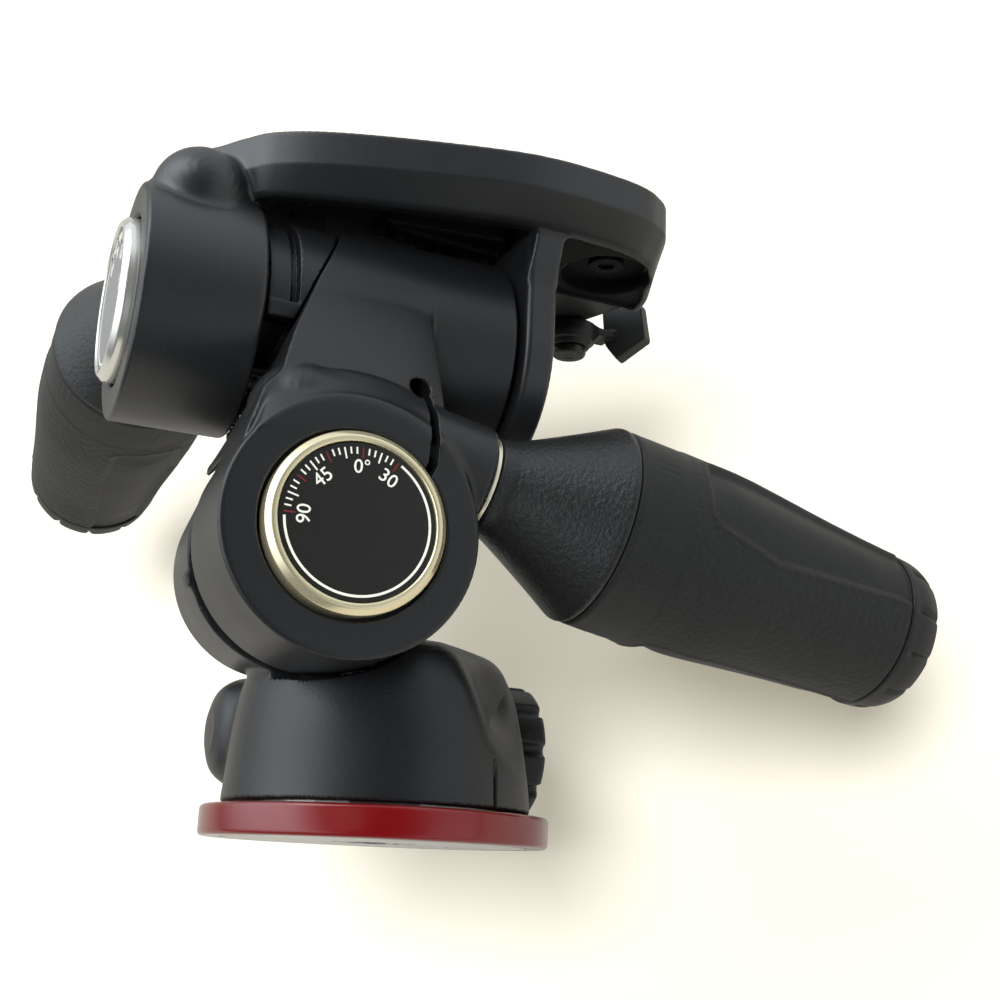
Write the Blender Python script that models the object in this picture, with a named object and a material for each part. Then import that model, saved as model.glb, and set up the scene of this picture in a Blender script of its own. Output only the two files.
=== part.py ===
# Three way pan tilt head: pan base, side tilt body and roll yoke, each locked by a handle or a knob.
# Metres, +Z up. The origin is the centre of the base's underside, on the pan axis.
# The operator stands at +X and the camera looks towards -X.

from math import cos, hypot, pi, radians, sin

import bmesh
import bpy
from mathutils import Matrix, Vector

for old in list(bpy.data.objects):
    bpy.data.objects.remove(old, do_unlink=True)

# Shared clearances and facets
gap = 0.0003
overrun = 0.001
tiny = 1e-7
round_sides = 36
hidden_sides = 24
small_sides = 16
smooth_angle = radians(35)

# Base disc and its tripod thread
base_radius = 0.030
base_thickness = 0.0052
base_edge = 0.0010
underplate_rim = 0.0036
underplate_thickness = 0.0007
thread_radius = 0.00476
bush_radius = 0.0070
bush_length = 0.0120
spindle_radius = 0.0141
spindle_flange_radius = 0.0220
spindle_flange_thickness = 0.0020
spindle_top = 0.0275

# Friction drums and their plastic liners
liner_gap = 0.0003
liner_thickness = 0.0017
pan_washer_thickness = 0.0008
pan_washer_width = 0.0073

# Pan housing
housing_bottom_radius = 0.0267
housing_middle_radius = 0.0256
housing_middle_height = 0.0200
housing_shoulder_radius = 0.0242
housing_shoulder_height = 0.0272
housing_edge_radius = 0.0206
housing_edge_height = 0.0326
housing_top_height = 0.0360
housing_slit_width = 0.0005
housing_slit_depth = 0.0012
housing_slit_height = 0.0078
housing_slit_angle = radians(-62)

# Tilt station
tilt_x = -0.0181
tilt_z = 0.0467
tilt_face = 0.0352
hub_gap = 0.0006
hub_rear = -0.0130
hub_front_radius = 0.0208
hub_rear_radius = 0.0186
hub_edge = 0.0015
shaft_radius = 0.0090
retainer_radius = 0.0120
retainer_thickness = 0.0015
retainer_pocket_depth = 0.0050
screw_shank_radius = 0.0024
screw_head_radius = 0.0050
screw_head_height = 0.0024
screw_depth = 0.0100
stop_recess_depth = 0.0026
stop_recess_width = 0.0044
stop_rib_angle = radians(102)
stop_rib_half_angle = radians(2.0)
stop_margin_angle = radians(1.0)
tilt_forward = radians(90)
tilt_back = radians(30)

# Collars
collar_radius = 0.0211
collar_width = 0.0208
collar_edge = 0.0008
hub_front = tilt_face - collar_width - hub_gap
drum_setback = 0.0026
bezel_proud = 0.0024
bezel_radius = 0.0146
bezel_width = 0.0019
bezel_bevel = 0.0007
dial_recess = 0.0004
lip_depth = 0.0020
slot_width = 0.0015
slot_start = (0.0105, 0.0100)
slot_middle = (0.0128, 0.0185)
slot_end = (0.0096, 0.0245)
slot_eye_radius = 0.0019
lug_radius = 0.0095
lug_tip = 0.0208
lug_full = 0.0060
dome_radius = 0.0088
dome_start = -0.0110

# Handles
handle_offset = 0.0175
handle_drop = radians(11.6)
clamp_bolt_radius = 0.0030
clamp_bolt_start = -0.0080
clamp_bolt_head_radius = 0.0055
clamp_bolt_head_height = 0.0040
clamp_washer_radius = 0.0083
clamp_washer_thickness = 0.0008
cone_small_radius = 0.0085
cone_large_radius = 0.0178
cone_length = 0.0210
cone_edge = 0.0010
cone_socket_depth = 0.0090
tube_radius = 0.0090
tube_wall = 0.0015
tube_end_room = 0.0006
guide_radius = 0.0105
guide_length = 0.0040
core_neck_length = 0.0055
core_front_radius = 0.0150
core_rear_radius = 0.0124
grip_length = 0.0588
grip_front_radius = 0.0179
grip_belly_radius = 0.0181
grip_belly_place = 0.0220
grip_rear_radius = 0.0150
grip_edge = 0.0008
cap_length = 0.0078
cap_rear_radius = 0.0138
cap_round = 0.0022
cap_spigot_length = 0.0032

# Tilt body: neck and barrel
roll_z = 0.0900
roll_face = 0.0524
barrel_radius = 0.0200
roll_drum_back = roll_face - collar_width
barrel_front_room = 0.0056
barrel_front = barrel_front_room - roll_drum_back
barrel_back = 0.0150
barrel_edge = 0.0010
neck_right_x = -0.0020
neck_left_x = -0.0385
neck_left_height = 0.0650
neck_near = 0.0330
dome_sweep_radius = 0.0278
seam_room = 0.0080
seam_x = seam_room - roll_drum_back
seam_z = 0.0910
seam_lean = radians(21.5)
seam_reach = 3 * barrel_radius
stop_band_radius = 0.0185
stop_band_width = 0.0040
stop_groove_radius = 0.0172
stop_groove_width = 0.0012
stop_sleeve_radius = 0.0194
stop_sleeve_back = -0.0180
stop_recess_radius = 0.0120
stop_tab_top = radians(186)
stop_tab_bottom = radians(195)
stop_tab_radius = 0.0197
roll_stop_half_angle = radians(3)
roll_stop_low_radius = 0.0130
roll_stop_high_radius = 0.0175
roll_near = radians(60)
roll_away = radians(30)

# Roll yoke
ear_inner = 0.0162
ear_outer = 0.0220
ear_radius = 0.0210
ear_bore = 0.0083
pivot_shoulder_radius = 0.0050
pivot_head_radius = 0.0075
pivot_head_height = 0.0028
platform_front = -0.0438
platform_back = 0.0508
platform_half_width = 0.0312
barrel_top = roll_z + barrel_radius
platform_foot_drop = 0.0005
platform_roof_room = 0.0025
platform_wall_rise = 0.0040
platform_deck_thickness = 0.0020
platform_rise = 0.0107
platform_foot = barrel_top - platform_foot_drop
platform_roof = barrel_top + platform_roof_room
platform_wall_foot = barrel_top + platform_wall_rise
platform_floor = platform_roof + platform_deck_thickness
platform_top = barrel_top + platform_rise
platform_skirt_wall = 0.0030
platform_skirt_in_share = 0.80
platform_edge = 0.0008
block_far_side = 0.0010
bridge_front = -0.0405
bridge_half_width = 0.0080
bridge_depth = 0.0120
counterbore_x = 0.0370
counterbore_y = -0.0120
counterbore_radius = 0.0085
counterbore_depth = 0.0032
block_screw_radius = 0.0035
block_screw_height = 0.0022
block_socket_radius = 0.0014
small_screw_radius = 0.0017
small_screw_height = 0.0008
small_screw_front = -0.0240
small_screw_back = 0.0110
small_screw_side = 0.0100

# Quick release
plate_centre_x = 0.0140
plate_half_length = 0.0262
plate_half_width = 0.0210
plate_thickness = 0.0070
plate_lead_in = 0.0010
plate_corner = 0.0030
plate_recess_radius = 0.0095
plate_recess_depth = 0.0034
pad_inset = 0.0022
pad_thickness = 0.0012
camera_screw_radius = 0.00317
camera_screw_head_radius = 0.0085
camera_screw_head_height = 0.0022
camera_screw_proud = 0.0050
coin_slot_width = 0.0014
coin_slot_depth = 0.0012
lever_x = 0.0445
lever_y = 0.0200
lever_hub_radius = 0.0060
lever_drop = 0.0030
lever_bottom = barrel_top - lever_drop
lever_arm_width = 0.0070
lever_arm_length = 0.0102
lever_finger_length = 0.0080
lever_finger_width = 0.0085
lever_finger_rise = 0.0080
lever_arm_lift = 0.0023
lever_screw_radius = 0.0019
lever_screw_head_radius = 0.0037
lever_screw_head_height = 0.0016
catch_x = 0.0220
catch_length = 0.0060
catch_height = 0.0030
catch_proud = 0.0022
catch_depth = 0.0044
catch_travel = 0.0040
vial_radius = 0.0020
vial_length = 0.0120
vial_back_x = 0.0458
vial_side_x = 0.0120
vial_side_y = -0.0265

# Pan lock
lock_y = 0.0190
lock_z = 0.0188
lock_bolt_radius = 0.0024
lock_boss_radius = 0.0100
lock_boss_left = -0.0263
lock_boss_dome = 0.0060
lock_boss_dome_shares = ((0.55, 0.15), (0.88, 0.5), (1.0, 1.0))
lock_boss_right = 0.0240
knob_radius = 0.0130
knob_inner = 0.0272
knob_outer = 0.0357
knob_edge = 0.0020
knob_stem_radius = 0.0062
knob_notches = 10
knob_notch_radius = 0.0016

# Outline of the platform, from its front tip to its back, as shares of its length and half width
platform_outline_shares = (
    (0.0, 0.10), (0.039, 0.200), (0.081, 0.375), (0.134, 0.545), (0.252, 0.715), (0.485, 0.920),
    (0.639, 1.0), (0.822, 0.955), (0.884, 0.872), (0.922, 0.753), (0.968, 0.385), (1.0, 0.10),
)
outline_steps = 2


def surface(name, colour, roughness, metallic=0.0):
    found = bpy.data.materials.new(name)
    found.use_nodes = True
    shader = found.node_tree.nodes["Principled BSDF"]
    shader.inputs["Base Color"].default_value = (*colour, 1.0)
    shader.inputs["Roughness"].default_value = roughness
    shader.inputs["Metallic"].default_value = metallic
    return found


# Colours, roughness and metallic values of each sub-part
black_paint = ((0.020, 0.021, 0.023), 0.55, 0.0)
black_plastic = ((0.016, 0.016, 0.017), 0.62, 0.0)
black_rubber = ((0.022, 0.022, 0.022), 0.78, 0.0)
crimson_paint = ((0.180, 0.010, 0.014), 0.22, 0.0)
bright_steel = ((0.620, 0.610, 0.580), 0.28, 1.0)
black_steel = ((0.030, 0.030, 0.032), 0.40, 1.0)
plain_aluminium = ((0.680, 0.680, 0.670), 0.35, 1.0)
champagne_metal = ((0.780, 0.690, 0.500), 0.16, 1.0)
dial_black = ((0.014, 0.014, 0.015), 0.45, 0.0)
white_acetal = ((0.700, 0.690, 0.640), 0.45, 0.0)
yellow_brass = ((0.640, 0.460, 0.180), 0.30, 1.0)
vial_green = ((0.350, 0.600, 0.080), 0.10, 0.0)


def holder(name, place, parent=None):
    # An empty on a joint's axis, which carries the pieces that move with it.
    found = bpy.data.objects.new(name, None)
    bpy.context.scene.collection.objects.link(found)
    found["place"] = place
    found.location = place
    if parent is not None:
        found.parent = parent
        found.location = Vector(place) - Vector(parent["place"])
    return found


def add_object(name, shape, frame, parent):
    # The shape is drawn in its frame, and its mesh is kept about its holder's point.
    bmesh.ops.transform(shape, matrix=frame, verts=shape.verts)
    bmesh.ops.translate(shape, vec=-Vector(parent["place"]), verts=shape.verts)
    bmesh.ops.recalc_face_normals(shape, faces=shape.faces)
    mesh = bpy.data.meshes.new(name)
    shape.to_mesh(mesh)
    shape.free()
    mesh.shade_smooth()
    mesh.set_sharp_from_angle(angle=smooth_angle)
    found = bpy.data.objects.new(name, mesh)
    bpy.context.scene.collection.objects.link(found)
    found.parent = parent
    return found


def piece(name, shape, look, parent, frame=Matrix.Identity(4)):
    found = add_object(name, shape, frame, parent)
    found.data.materials.append(surface(name, *look))
    return found


def combine(target, shape, operation, frame=Matrix.Identity(4)):
    # Neighbouring steps of one kind share a modifier, so their shapes are combined in one go.
    helper = add_object(target.name + "." + operation.lower(), shape, frame, target.parent)
    helper.hide_render = True
    helper.display_type = "WIRE"
    step = target.modifiers[-1] if target.modifiers else None
    if step is None or step.operation != operation:
        step = target.modifiers.new(operation.lower(), "BOOLEAN")
        step.operation = operation
        step.solver = "EXACT"
        step.operand_type = "COLLECTION"
        step.collection = bpy.data.collections.new(target.name + "." + operation.lower())
    step.collection.objects.link(helper)


def cut(target, shape, frame=Matrix.Identity(4)):
    combine(target, shape, "DIFFERENCE", frame)


def fuse(target, shape, frame=Matrix.Identity(4)):
    combine(target, shape, "UNION", frame)


def add_turned(shape, profile, sides):
    # Each profile point is a radius and a height. A point on the axis becomes one vertex, and a
    # profile that starts off the axis closes on itself as a ring.
    rings = []
    for radius, height in profile:
        if radius < tiny:
            rings.append([shape.verts.new((0.0, 0.0, height))])
            continue
        turn = [2 * pi * step / sides for step in range(sides)]
        rings.append([shape.verts.new((radius * cos(a), radius * sin(a), height)) for a in turn])
    pairs = list(zip(rings, rings[1:]))
    if profile[0][0] > tiny:
        pairs.append((rings[-1], rings[0]))
    for lower, upper in pairs:
        for here in range(sides):
            after = (here + 1) % sides
            corners = (lower[here % len(lower)], lower[after % len(lower)],
                       upper[after % len(upper)], upper[here % len(upper)])
            shape.faces.new(list(dict.fromkeys(corners)))


def turned(profile, sides=round_sides):
    shape = bmesh.new()
    add_turned(shape, profile, sides)
    return shape


def rod(radius, low, high, sides=round_sides):
    return turned([(0.0, low), (radius, low), (radius, high), (0.0, high)], sides)


def ring(inner, outer, low, high, sides=round_sides):
    return turned([(inner, low), (outer, low), (outer, high), (inner, high)], sides)


def stacked(levels):
    # A solid through like outlines, one above the other: each level is its points and its height.
    shape = bmesh.new()
    loops = [[shape.verts.new((x, y, height)) for x, y in points] for points, height in levels]
    count = len(loops[0])
    shape.faces.new(loops[0])
    shape.faces.new(loops[-1])
    for lower, upper in zip(loops, loops[1:]):
        for here in range(count):
            after = (here + 1) % count
            shape.faces.new((lower[here], lower[after], upper[after], upper[here]))
    return shape


def block(low, high):
    corners = ((low[0], low[1]), (high[0], low[1]), (high[0], high[1]), (low[0], high[1]))
    return stacked([(corners, low[2]), (corners, high[2])])


def hull(points):
    shape = bmesh.new()
    for point in points:
        shape.verts.new(point)
    found = bmesh.ops.convex_hull(shape, input=shape.verts)
    loose = [item for item in found["geom_interior"] if isinstance(item, bmesh.types.BMVert)]
    bmesh.ops.delete(shape, geom=loose, context="VERTS")
    return shape


def arc(centre, radius, start, stop, steps):
    turns = [start + (stop - start) * step / steps for step in range(steps + 1)]
    return [(centre[0] + radius * cos(a), centre[1] + radius * sin(a)) for a in turns]


def smooth_line(points, steps):
    # A curve that passes through every point, its ends doubled.
    padded = [points[0], *points, points[-1]]
    found = []
    for a, b, c, d in zip(padded, padded[1:], padded[2:], padded[3:]):
        for step in range(steps):
            t = step / steps
            found.append(tuple(
                0.5 * (2 * q + (r - p) * t + (2 * p - 5 * q + 4 * r - s) * t ** 2
                       + (3 * q - p - 3 * r + s) * t ** 3)
                for p, q, r, s in zip(a, b, c, d)))
    found.append(tuple(points[-1]))
    return found


def ribbon(points, width):
    # The outline of a band of one width along a line of points.
    left = []
    right = []
    for here, point in enumerate(points):
        before = points[max(here - 1, 0)]
        after = points[min(here + 1, len(points) - 1)]
        along = (after[0] - before[0], after[1] - before[1])
        size = hypot(*along)
        side = (-along[1] / size * width / 2, along[0] / size * width / 2)
        left.append((point[0] + side[0], point[1] + side[1]))
        right.append((point[0] - side[0], point[1] - side[1]))
    return left + right[::-1]


def frame_of(origin, across, up, outward):
    columns = [Vector(axis).to_4d() for axis in (across, up, outward)]
    for column in columns:
        column[3] = 0.0
    return Matrix((*columns, Vector(origin).to_4d())).transposed()


# Frames: local Z is the axis, pointing out of the dial, local X points to the handle's side
tilt_point = (tilt_x, 0.0, tilt_z)
roll_point = (0.0, 0.0, roll_z)
tilt_frame = frame_of(tilt_point, (1, 0, 0), (0, 0, 1), (0, -1, 0))
roll_frame = frame_of(roll_point, (0, 1, 0), (0, 0, 1), (-1, 0, 0))
lock_point = (0.0, lock_y, lock_z)
lock_frame = frame_of(lock_point, (0, 1, 0), (0, 0, 1), (1, 0, 0))
handle_along = (cos(handle_drop), -sin(handle_drop), 0.0)
handle_up = (sin(handle_drop), cos(handle_drop), 0.0)


def handle_frame(station, face):
    middle = face - collar_width / 2
    origin = (handle_offset * handle_up[0], handle_offset * handle_up[1], middle)
    return station @ frame_of(origin, handle_up, (0, 0, 1), handle_along)


tilt_handle_frame = handle_frame(tilt_frame, tilt_face)
roll_handle_frame = handle_frame(roll_frame, roll_face)

# Holders, one on each joint's axis
base_holder = holder("base_frame", (0.0, 0.0, 0.0))
pan_holder = holder("pan_axis", (0.0, 0.0, base_thickness), base_holder)
lock_holder = holder("pan_lock_axis", lock_point, pan_holder)
tilt_holder = holder("tilt_axis", tilt_point, pan_holder)
roll_holder = holder("roll_axis", roll_point, tilt_holder)
tilt_handle_holder = holder("tilt_handle_axis", tuple(tilt_handle_frame.translation), tilt_holder)
roll_handle_holder = holder("roll_handle_axis", tuple(roll_handle_frame.translation), roll_holder)
lever_holder = holder("lever_axis", (lever_x, lever_y, lever_bottom), roll_holder)
catch_holder = holder("catch_slide", (catch_x, platform_half_width, platform_wall_foot),
                      roll_holder)
plate_holder = holder("plate_lift", (plate_centre_x, 0.0, platform_floor), roll_holder)

# Liners fit between a drum and the bore round it
liner_inner = spindle_radius + liner_gap
liner_outer = liner_inner + liner_thickness
liner_bore = liner_outer + gap


def make_base():
    inner = bush_radius + gap
    recess = base_radius - underplate_rim
    step = underplate_thickness + gap
    piece("base_disc", turned([
        (inner, step), (recess, step), (recess, 0.0), (base_radius - base_edge, 0.0),
        (base_radius, base_edge), (base_radius, base_thickness - base_edge),
        (base_radius - base_edge, base_thickness), (inner, base_thickness),
    ]), crimson_paint, base_holder)
    piece("base_underplate", ring(inner, recess - gap, 0.0, underplate_thickness),
          plain_aluminium, base_holder)
    piece("thread_bush", ring(thread_radius, bush_radius, 0.0, bush_length, small_sides),
          bright_steel, base_holder)
    foot = base_thickness + gap
    shelf = foot + spindle_flange_thickness
    piece("pan_spindle", turned([
        (0.0, bush_length + gap), (inner, bush_length + gap), (inner, foot),
        (spindle_flange_radius, foot), (spindle_flange_radius, shelf),
        (spindle_radius, shelf), (spindle_radius, spindle_top), (0.0, spindle_top),
    ], hidden_sides), bright_steel, base_holder)


washer_low = base_thickness + gap + spindle_flange_thickness + gap
washer_high = washer_low + pan_washer_thickness


def hub_radius_at(depth):
    share = (depth - hub_rear) / (hub_front - hub_rear)
    return hub_rear_radius + share * (hub_front_radius - hub_rear_radius)


def handle_envelope(clearance):
    # The outside of the cone and the grip, a clearance larger.
    start = lug_tip
    cone_end = handle_cone_end()
    belly = cone_end + grip_belly_place
    grip_end = cone_end + grip_length
    return turned([
        (0.0, start), (cone_small_radius + clearance, start),
        (cone_large_radius + clearance, cone_end - cone_edge),
        (grip_belly_radius + clearance, belly), (grip_rear_radius + clearance, grip_end),
        (0.0, grip_end),
    ], small_sides)


def handle_cone_end():
    return lug_tip + gap + clamp_washer_thickness + gap + cone_length


def make_pan_housing():
    foot = base_thickness + 2 * gap
    cavity = spindle_flange_radius + gap
    roof = spindle_top + gap
    shelf = washer_high + gap
    body = piece("pan_housing", turned([
        (0.0, foot), (housing_bottom_radius, foot),
        (housing_middle_radius, housing_middle_height),
        (housing_shoulder_radius, housing_shoulder_height),
        (housing_edge_radius, housing_edge_height), (0.0, housing_top_height),
    ]), black_paint, pan_holder)
    fuse(body, turned([
        (0.0, hub_rear), (hub_rear_radius - hub_edge, hub_rear),
        (hub_rear_radius, hub_rear + hub_edge), (hub_front_radius, hub_front), (0.0, hub_front),
    ]), tilt_frame)
    fuse(body, turned([
        (0.0, lock_boss_left),
        *((lock_boss_radius * across, lock_boss_left + lock_boss_dome * along)
          for across, along in lock_boss_dome_shares),
        (lock_boss_radius, lock_boss_right), (0.0, lock_boss_right),
    ], small_sides), lock_frame)
    bore = shaft_radius + gap
    cut(body, turned([
        (0.0, foot - overrun), (cavity, foot - overrun), (cavity, shelf), (liner_bore, shelf),
        (liner_bore, roof), (0.0, roof),
    ]))
    cut(body, rod(bore, hub_rear - overrun, hub_front + overrun), tilt_frame)
    pocket = hub_rear + retainer_pocket_depth
    cut(body, rod(retainer_radius + gap, hub_rear - overrun, pocket), tilt_frame)
    cut(body, rod(lock_bolt_radius + gap, lock_boss_left + lock_boss_dome,
                  lock_boss_right + overrun, small_sides), lock_frame)
    swing_start = stop_rib_angle - tilt_back - stop_rib_half_angle - stop_margin_angle
    swing_stop = stop_rib_angle + tilt_forward + stop_rib_half_angle + stop_margin_angle
    swing = sector(hub_front_radius - stop_recess_depth, hub_front_radius + overrun,
                   swing_start, swing_stop, small_sides)
    cut(body, stacked([(swing, hub_front - stop_recess_width), (swing, hub_front + overrun)]),
        tilt_frame)
    cut(body, rod(collar_radius + 2 * gap, hub_front + gap, tilt_face + overrun), tilt_frame)
    swung = tilt_frame @ Matrix.Rotation(-tilt_back, 4, "Z") @ tilt_frame.inverted()
    cut(body, handle_envelope(overrun), swung @ tilt_handle_frame)
    slit = Matrix.Rotation(housing_slit_angle, 4, "Z")
    cut(body, block(
        (housing_middle_radius - housing_slit_depth, -housing_slit_width / 2, 0.0),
        (housing_bottom_radius + overrun, housing_slit_width / 2, foot + housing_slit_height),
    ), slit)


def make_pan_parts():
    piece("pan_washer", ring(liner_inner, liner_inner + pan_washer_width, washer_low, washer_high,
                             hidden_sides),
          white_acetal, pan_holder)
    piece("pan_liner", ring(liner_inner, liner_outer, washer_high + 2 * gap, spindle_top,
                            hidden_sides),
          white_acetal, pan_holder)
    pocket = hub_rear + retainer_pocket_depth
    drum_front = tilt_face - drum_setback
    piece("tilt_shaft", turned([
        (0.0, pocket + gap + screw_depth), (screw_shank_radius + gap, pocket + gap + screw_depth),
        (screw_shank_radius + gap, pocket + gap), (shaft_radius, pocket + gap),
        (shaft_radius, hub_front + gap), (spindle_radius, hub_front + gap),
        (spindle_radius, drum_front), (0.0, drum_front),
    ], hidden_sides), plain_aluminium, pan_holder, tilt_frame)
    piece("tilt_retainer", ring(screw_shank_radius + gap, retainer_radius,
                                pocket - gap - retainer_thickness, pocket - gap, hidden_sides),
          bright_steel, pan_holder, tilt_frame)
    head_top = pocket - gap - retainer_thickness - gap
    piece("tilt_retainer_screw", turned([
        (0.0, head_top - screw_head_height), (screw_head_radius, head_top - screw_head_height),
        (screw_head_radius, head_top), (screw_shank_radius, head_top),
        (screw_shank_radius, pocket + screw_depth - gap), (0.0, pocket + screw_depth - gap),
    ], small_sides), bright_steel, pan_holder, tilt_frame)
    make_dial("tilt", pan_holder, tilt_frame, tilt_face)


def make_dial(name, parent, frame, face):
    seat = face - drum_setback + gap
    front = face + bezel_proud
    bore = bezel_radius - bezel_width
    piece(name + "_dial_bezel", turned([
        (bore, seat), (bezel_radius, seat), (bezel_radius, front - bezel_bevel),
        (bezel_radius - bezel_bevel, front), (bore, front),
    ]), champagne_metal, parent, frame)
    piece(name + "_dial_face", rod(bore - gap, seat, front - dial_recess),
          dial_black, parent, frame)


def make_pan_lock():
    start = lock_boss_left + lock_boss_dome + gap
    stem = lock_boss_right + gap
    knob = piece("pan_lock_knob", turned([
        (0.0, stem), (knob_stem_radius, stem), (knob_stem_radius, knob_inner),
        (knob_radius - knob_edge, knob_inner), (knob_radius, knob_inner + knob_edge),
        (knob_radius, knob_outer - knob_edge), (knob_radius - knob_edge, knob_outer),
        (0.0, knob_outer),
    ]), black_plastic, lock_holder, lock_frame)
    notches = bmesh.new()
    for place in range(knob_notches):
        turn = 2 * pi * place / knob_notches
        old = set(notches.verts)
        add_turned(notches, [
            (0.0, knob_inner - overrun), (knob_notch_radius, knob_inner - overrun),
            (knob_notch_radius, knob_outer + overrun), (0.0, knob_outer + overrun),
        ], 8)
        fresh = [vert for vert in notches.verts if vert not in old]
        shift = (knob_radius * cos(turn), knob_radius * sin(turn), 0.0)
        bmesh.ops.translate(notches, vec=shift, verts=fresh)
    cut(knob, notches, lock_frame)
    bolt_end = knob_inner - gap
    cut(knob, rod(lock_bolt_radius + gap, stem - overrun, knob_inner, small_sides), lock_frame)
    piece("pan_lock_bolt", rod(lock_bolt_radius, start, bolt_end, small_sides),
          bright_steel, lock_holder, lock_frame)


def make_collar(body, station, face):
    # The split clamp that both stations share: a round collar, a lug along the handle's axis with
    # a domed end, a flexing slot that ends in an eye, and the bores for the drum and the bolt.
    back = face - collar_width
    axis = handle_frame(station, face)
    fuse(body, turned([
        (0.0, back), (collar_radius, back), (collar_radius, face - collar_edge),
        (collar_radius - collar_edge, face), (0.0, face),
    ]), station)
    fuse(body, turned([
        (0.0, dome_start - dome_radius),
        (dome_radius * sin(pi / 6), dome_start - dome_radius * cos(pi / 6)),
        (dome_radius * sin(pi / 3), dome_start - dome_radius * cos(pi / 3)),
        (dome_radius, dome_start), (lug_radius, lug_full), (lug_radius, lug_tip),
        (0.0, lug_tip),
    ], small_sides), axis)


def bore_collar(body, station, face):
    back = face - collar_width
    axis = handle_frame(station, face)
    cut(body, turned([
        (0.0, back - overrun), (liner_bore, back - overrun), (liner_bore, face - lip_depth),
        (bezel_radius + 2 * gap, face - lip_depth), (bezel_radius + 2 * gap, face + overrun),
        (0.0, face + overrun),
    ]), station)
    cut(body, rod(clamp_bolt_radius + gap, clamp_bolt_start - gap, lug_tip + overrun, small_sides),
        axis)
    line = smooth_line([slot_start, slot_middle, slot_end], 3)
    band = ribbon(line, slot_width)
    cut(body, stacked([(band, back - overrun), (band, face + overrun)]), station)
    eye = station @ Matrix.Translation((*slot_end, 0.0))
    cut(body, rod(slot_eye_radius, back - overrun, face + overrun, small_sides), eye)


def make_liner(name, parent, station, face):
    back = face - collar_width
    liner = piece(name, ring(liner_inner, liner_outer, back + gap, face - drum_setback,
                             hidden_sides),
                  white_acetal, parent, station)
    cut(liner, rod(clamp_bolt_radius + gap, -liner_outer, liner_outer, small_sides),
        handle_frame(station, face))


def barrel_arc(x, start, stop):
    # Points on the barrel's lower near side at one place along it.
    spread = arc((0.0, roll_z), barrel_radius - gap, start, stop, 6)
    return [(x, y, z) for y, z in spread]


def make_tilt_body():
    body = piece("tilt_body", turned([
        (0.0, barrel_front), (barrel_radius - barrel_edge, barrel_front),
        (barrel_radius, barrel_front + barrel_edge), (barrel_radius, barrel_back),
        (0.0, barrel_back),
    ]), black_paint, tilt_holder, roll_frame @ Matrix.Scale(-1, 4, (0, 0, 1)))
    near = -neck_near
    far = -(tilt_face - collar_width) - overrun
    reach = collar_radius - collar_edge
    points = []
    for y in (near, far):
        top = arc((tilt_x, tilt_z), reach, radians(35), radians(182), 10)
        points += [(x, y, z) for x, z in top]
    for x in (neck_left_x, neck_right_x):
        points += barrel_arc(x, radians(170), radians(285))
    points += [(neck_left_x, y, neck_left_height) for y in (near + collar_edge, far)]
    fuse(body, hull(points))
    cut(body, beside_seam(-seam_reach, 0.0))
    make_collar(body, tilt_frame, tilt_face)
    clear_hub(body)
    bore_collar(body, tilt_frame, tilt_face)
    cut(body, rod(shaft_radius + gap, barrel_front - overrun, barrel_back + overrun),
        roll_frame @ Matrix.Scale(-1, 4, (0, 0, 1)))
    cut(body, rod(dome_sweep_radius, roll_drum_back - gap, roll_face + overrun), roll_frame)
    cut(body, rod(stop_sleeve_radius + gap, -barrel_front - overrun, roll_drum_back),
        roll_frame)


def beside_seam(low, high):
    # A slab between two distances behind the leaning seam, where the casting meets the sleeve.
    lean = Matrix.Translation((seam_x, 0.0, seam_z)) @ Matrix.Rotation(seam_lean, 4, "Y")
    shape = block((low, -seam_reach, -seam_reach), (high, seam_reach, seam_reach))
    bmesh.ops.transform(shape, matrix=lean, verts=shape.verts)
    return shape


def sector(inner, outer, start, stop, steps):
    return arc((0.0, 0.0), inner, start, stop, steps) + arc((0.0, 0.0), outer, stop, start, steps)


def clear_hub(body):
    # Room for the hub behind the collar, with a rib left standing in the hub's stop recess.
    clear = hub_front_radius + 2 * gap
    inner = hub_front_radius - stop_recess_depth + gap
    back = tilt_face - collar_width - gap
    tip = hub_front - stop_recess_width + 2 * gap
    low = stop_rib_angle - stop_rib_half_angle
    high = stop_rib_angle + stop_rib_half_angle
    around = arc((0.0, 0.0), clear, high, low + 2 * pi, round_sides)
    around += arc((0.0, 0.0), inner, low, high, 2)
    cut(body, stacked([(around, tip - gap), (around, back)]), tilt_frame)
    cut(body, rod(clear, -2 * barrel_radius, tip), tilt_frame)


def make_tilt_parts():
    make_liner("tilt_liner", tilt_holder, tilt_frame, tilt_face)
    back = -barrel_back
    front = -barrel_front
    piece("roll_shaft", turned([
        (0.0, back + screw_depth), (screw_shank_radius + gap, back + screw_depth),
        (screw_shank_radius + gap, back), (shaft_radius, back), (shaft_radius, roll_drum_back),
        (spindle_radius, roll_drum_back), (spindle_radius, roll_face - drum_setback),
        (0.0, roll_face - drum_setback),
    ], hidden_sides), plain_aluminium, tilt_holder, roll_frame)
    make_stop_ring()
    make_dial("roll", tilt_holder, roll_frame, roll_face)
    shoulder = back - gap
    head = -ear_outer - gap
    piece("roll_pivot_screw", turned([
        (0.0, head - pivot_head_height), (pivot_head_radius, head - pivot_head_height),
        (pivot_head_radius, head), (pivot_shoulder_radius, head),
        (pivot_shoulder_radius, shoulder), (screw_shank_radius, shoulder),
        (screw_shank_radius, back + screw_depth - gap), (0.0, back + screw_depth - gap),
    ], small_sides), bright_steel, tilt_holder, roll_frame)


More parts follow.
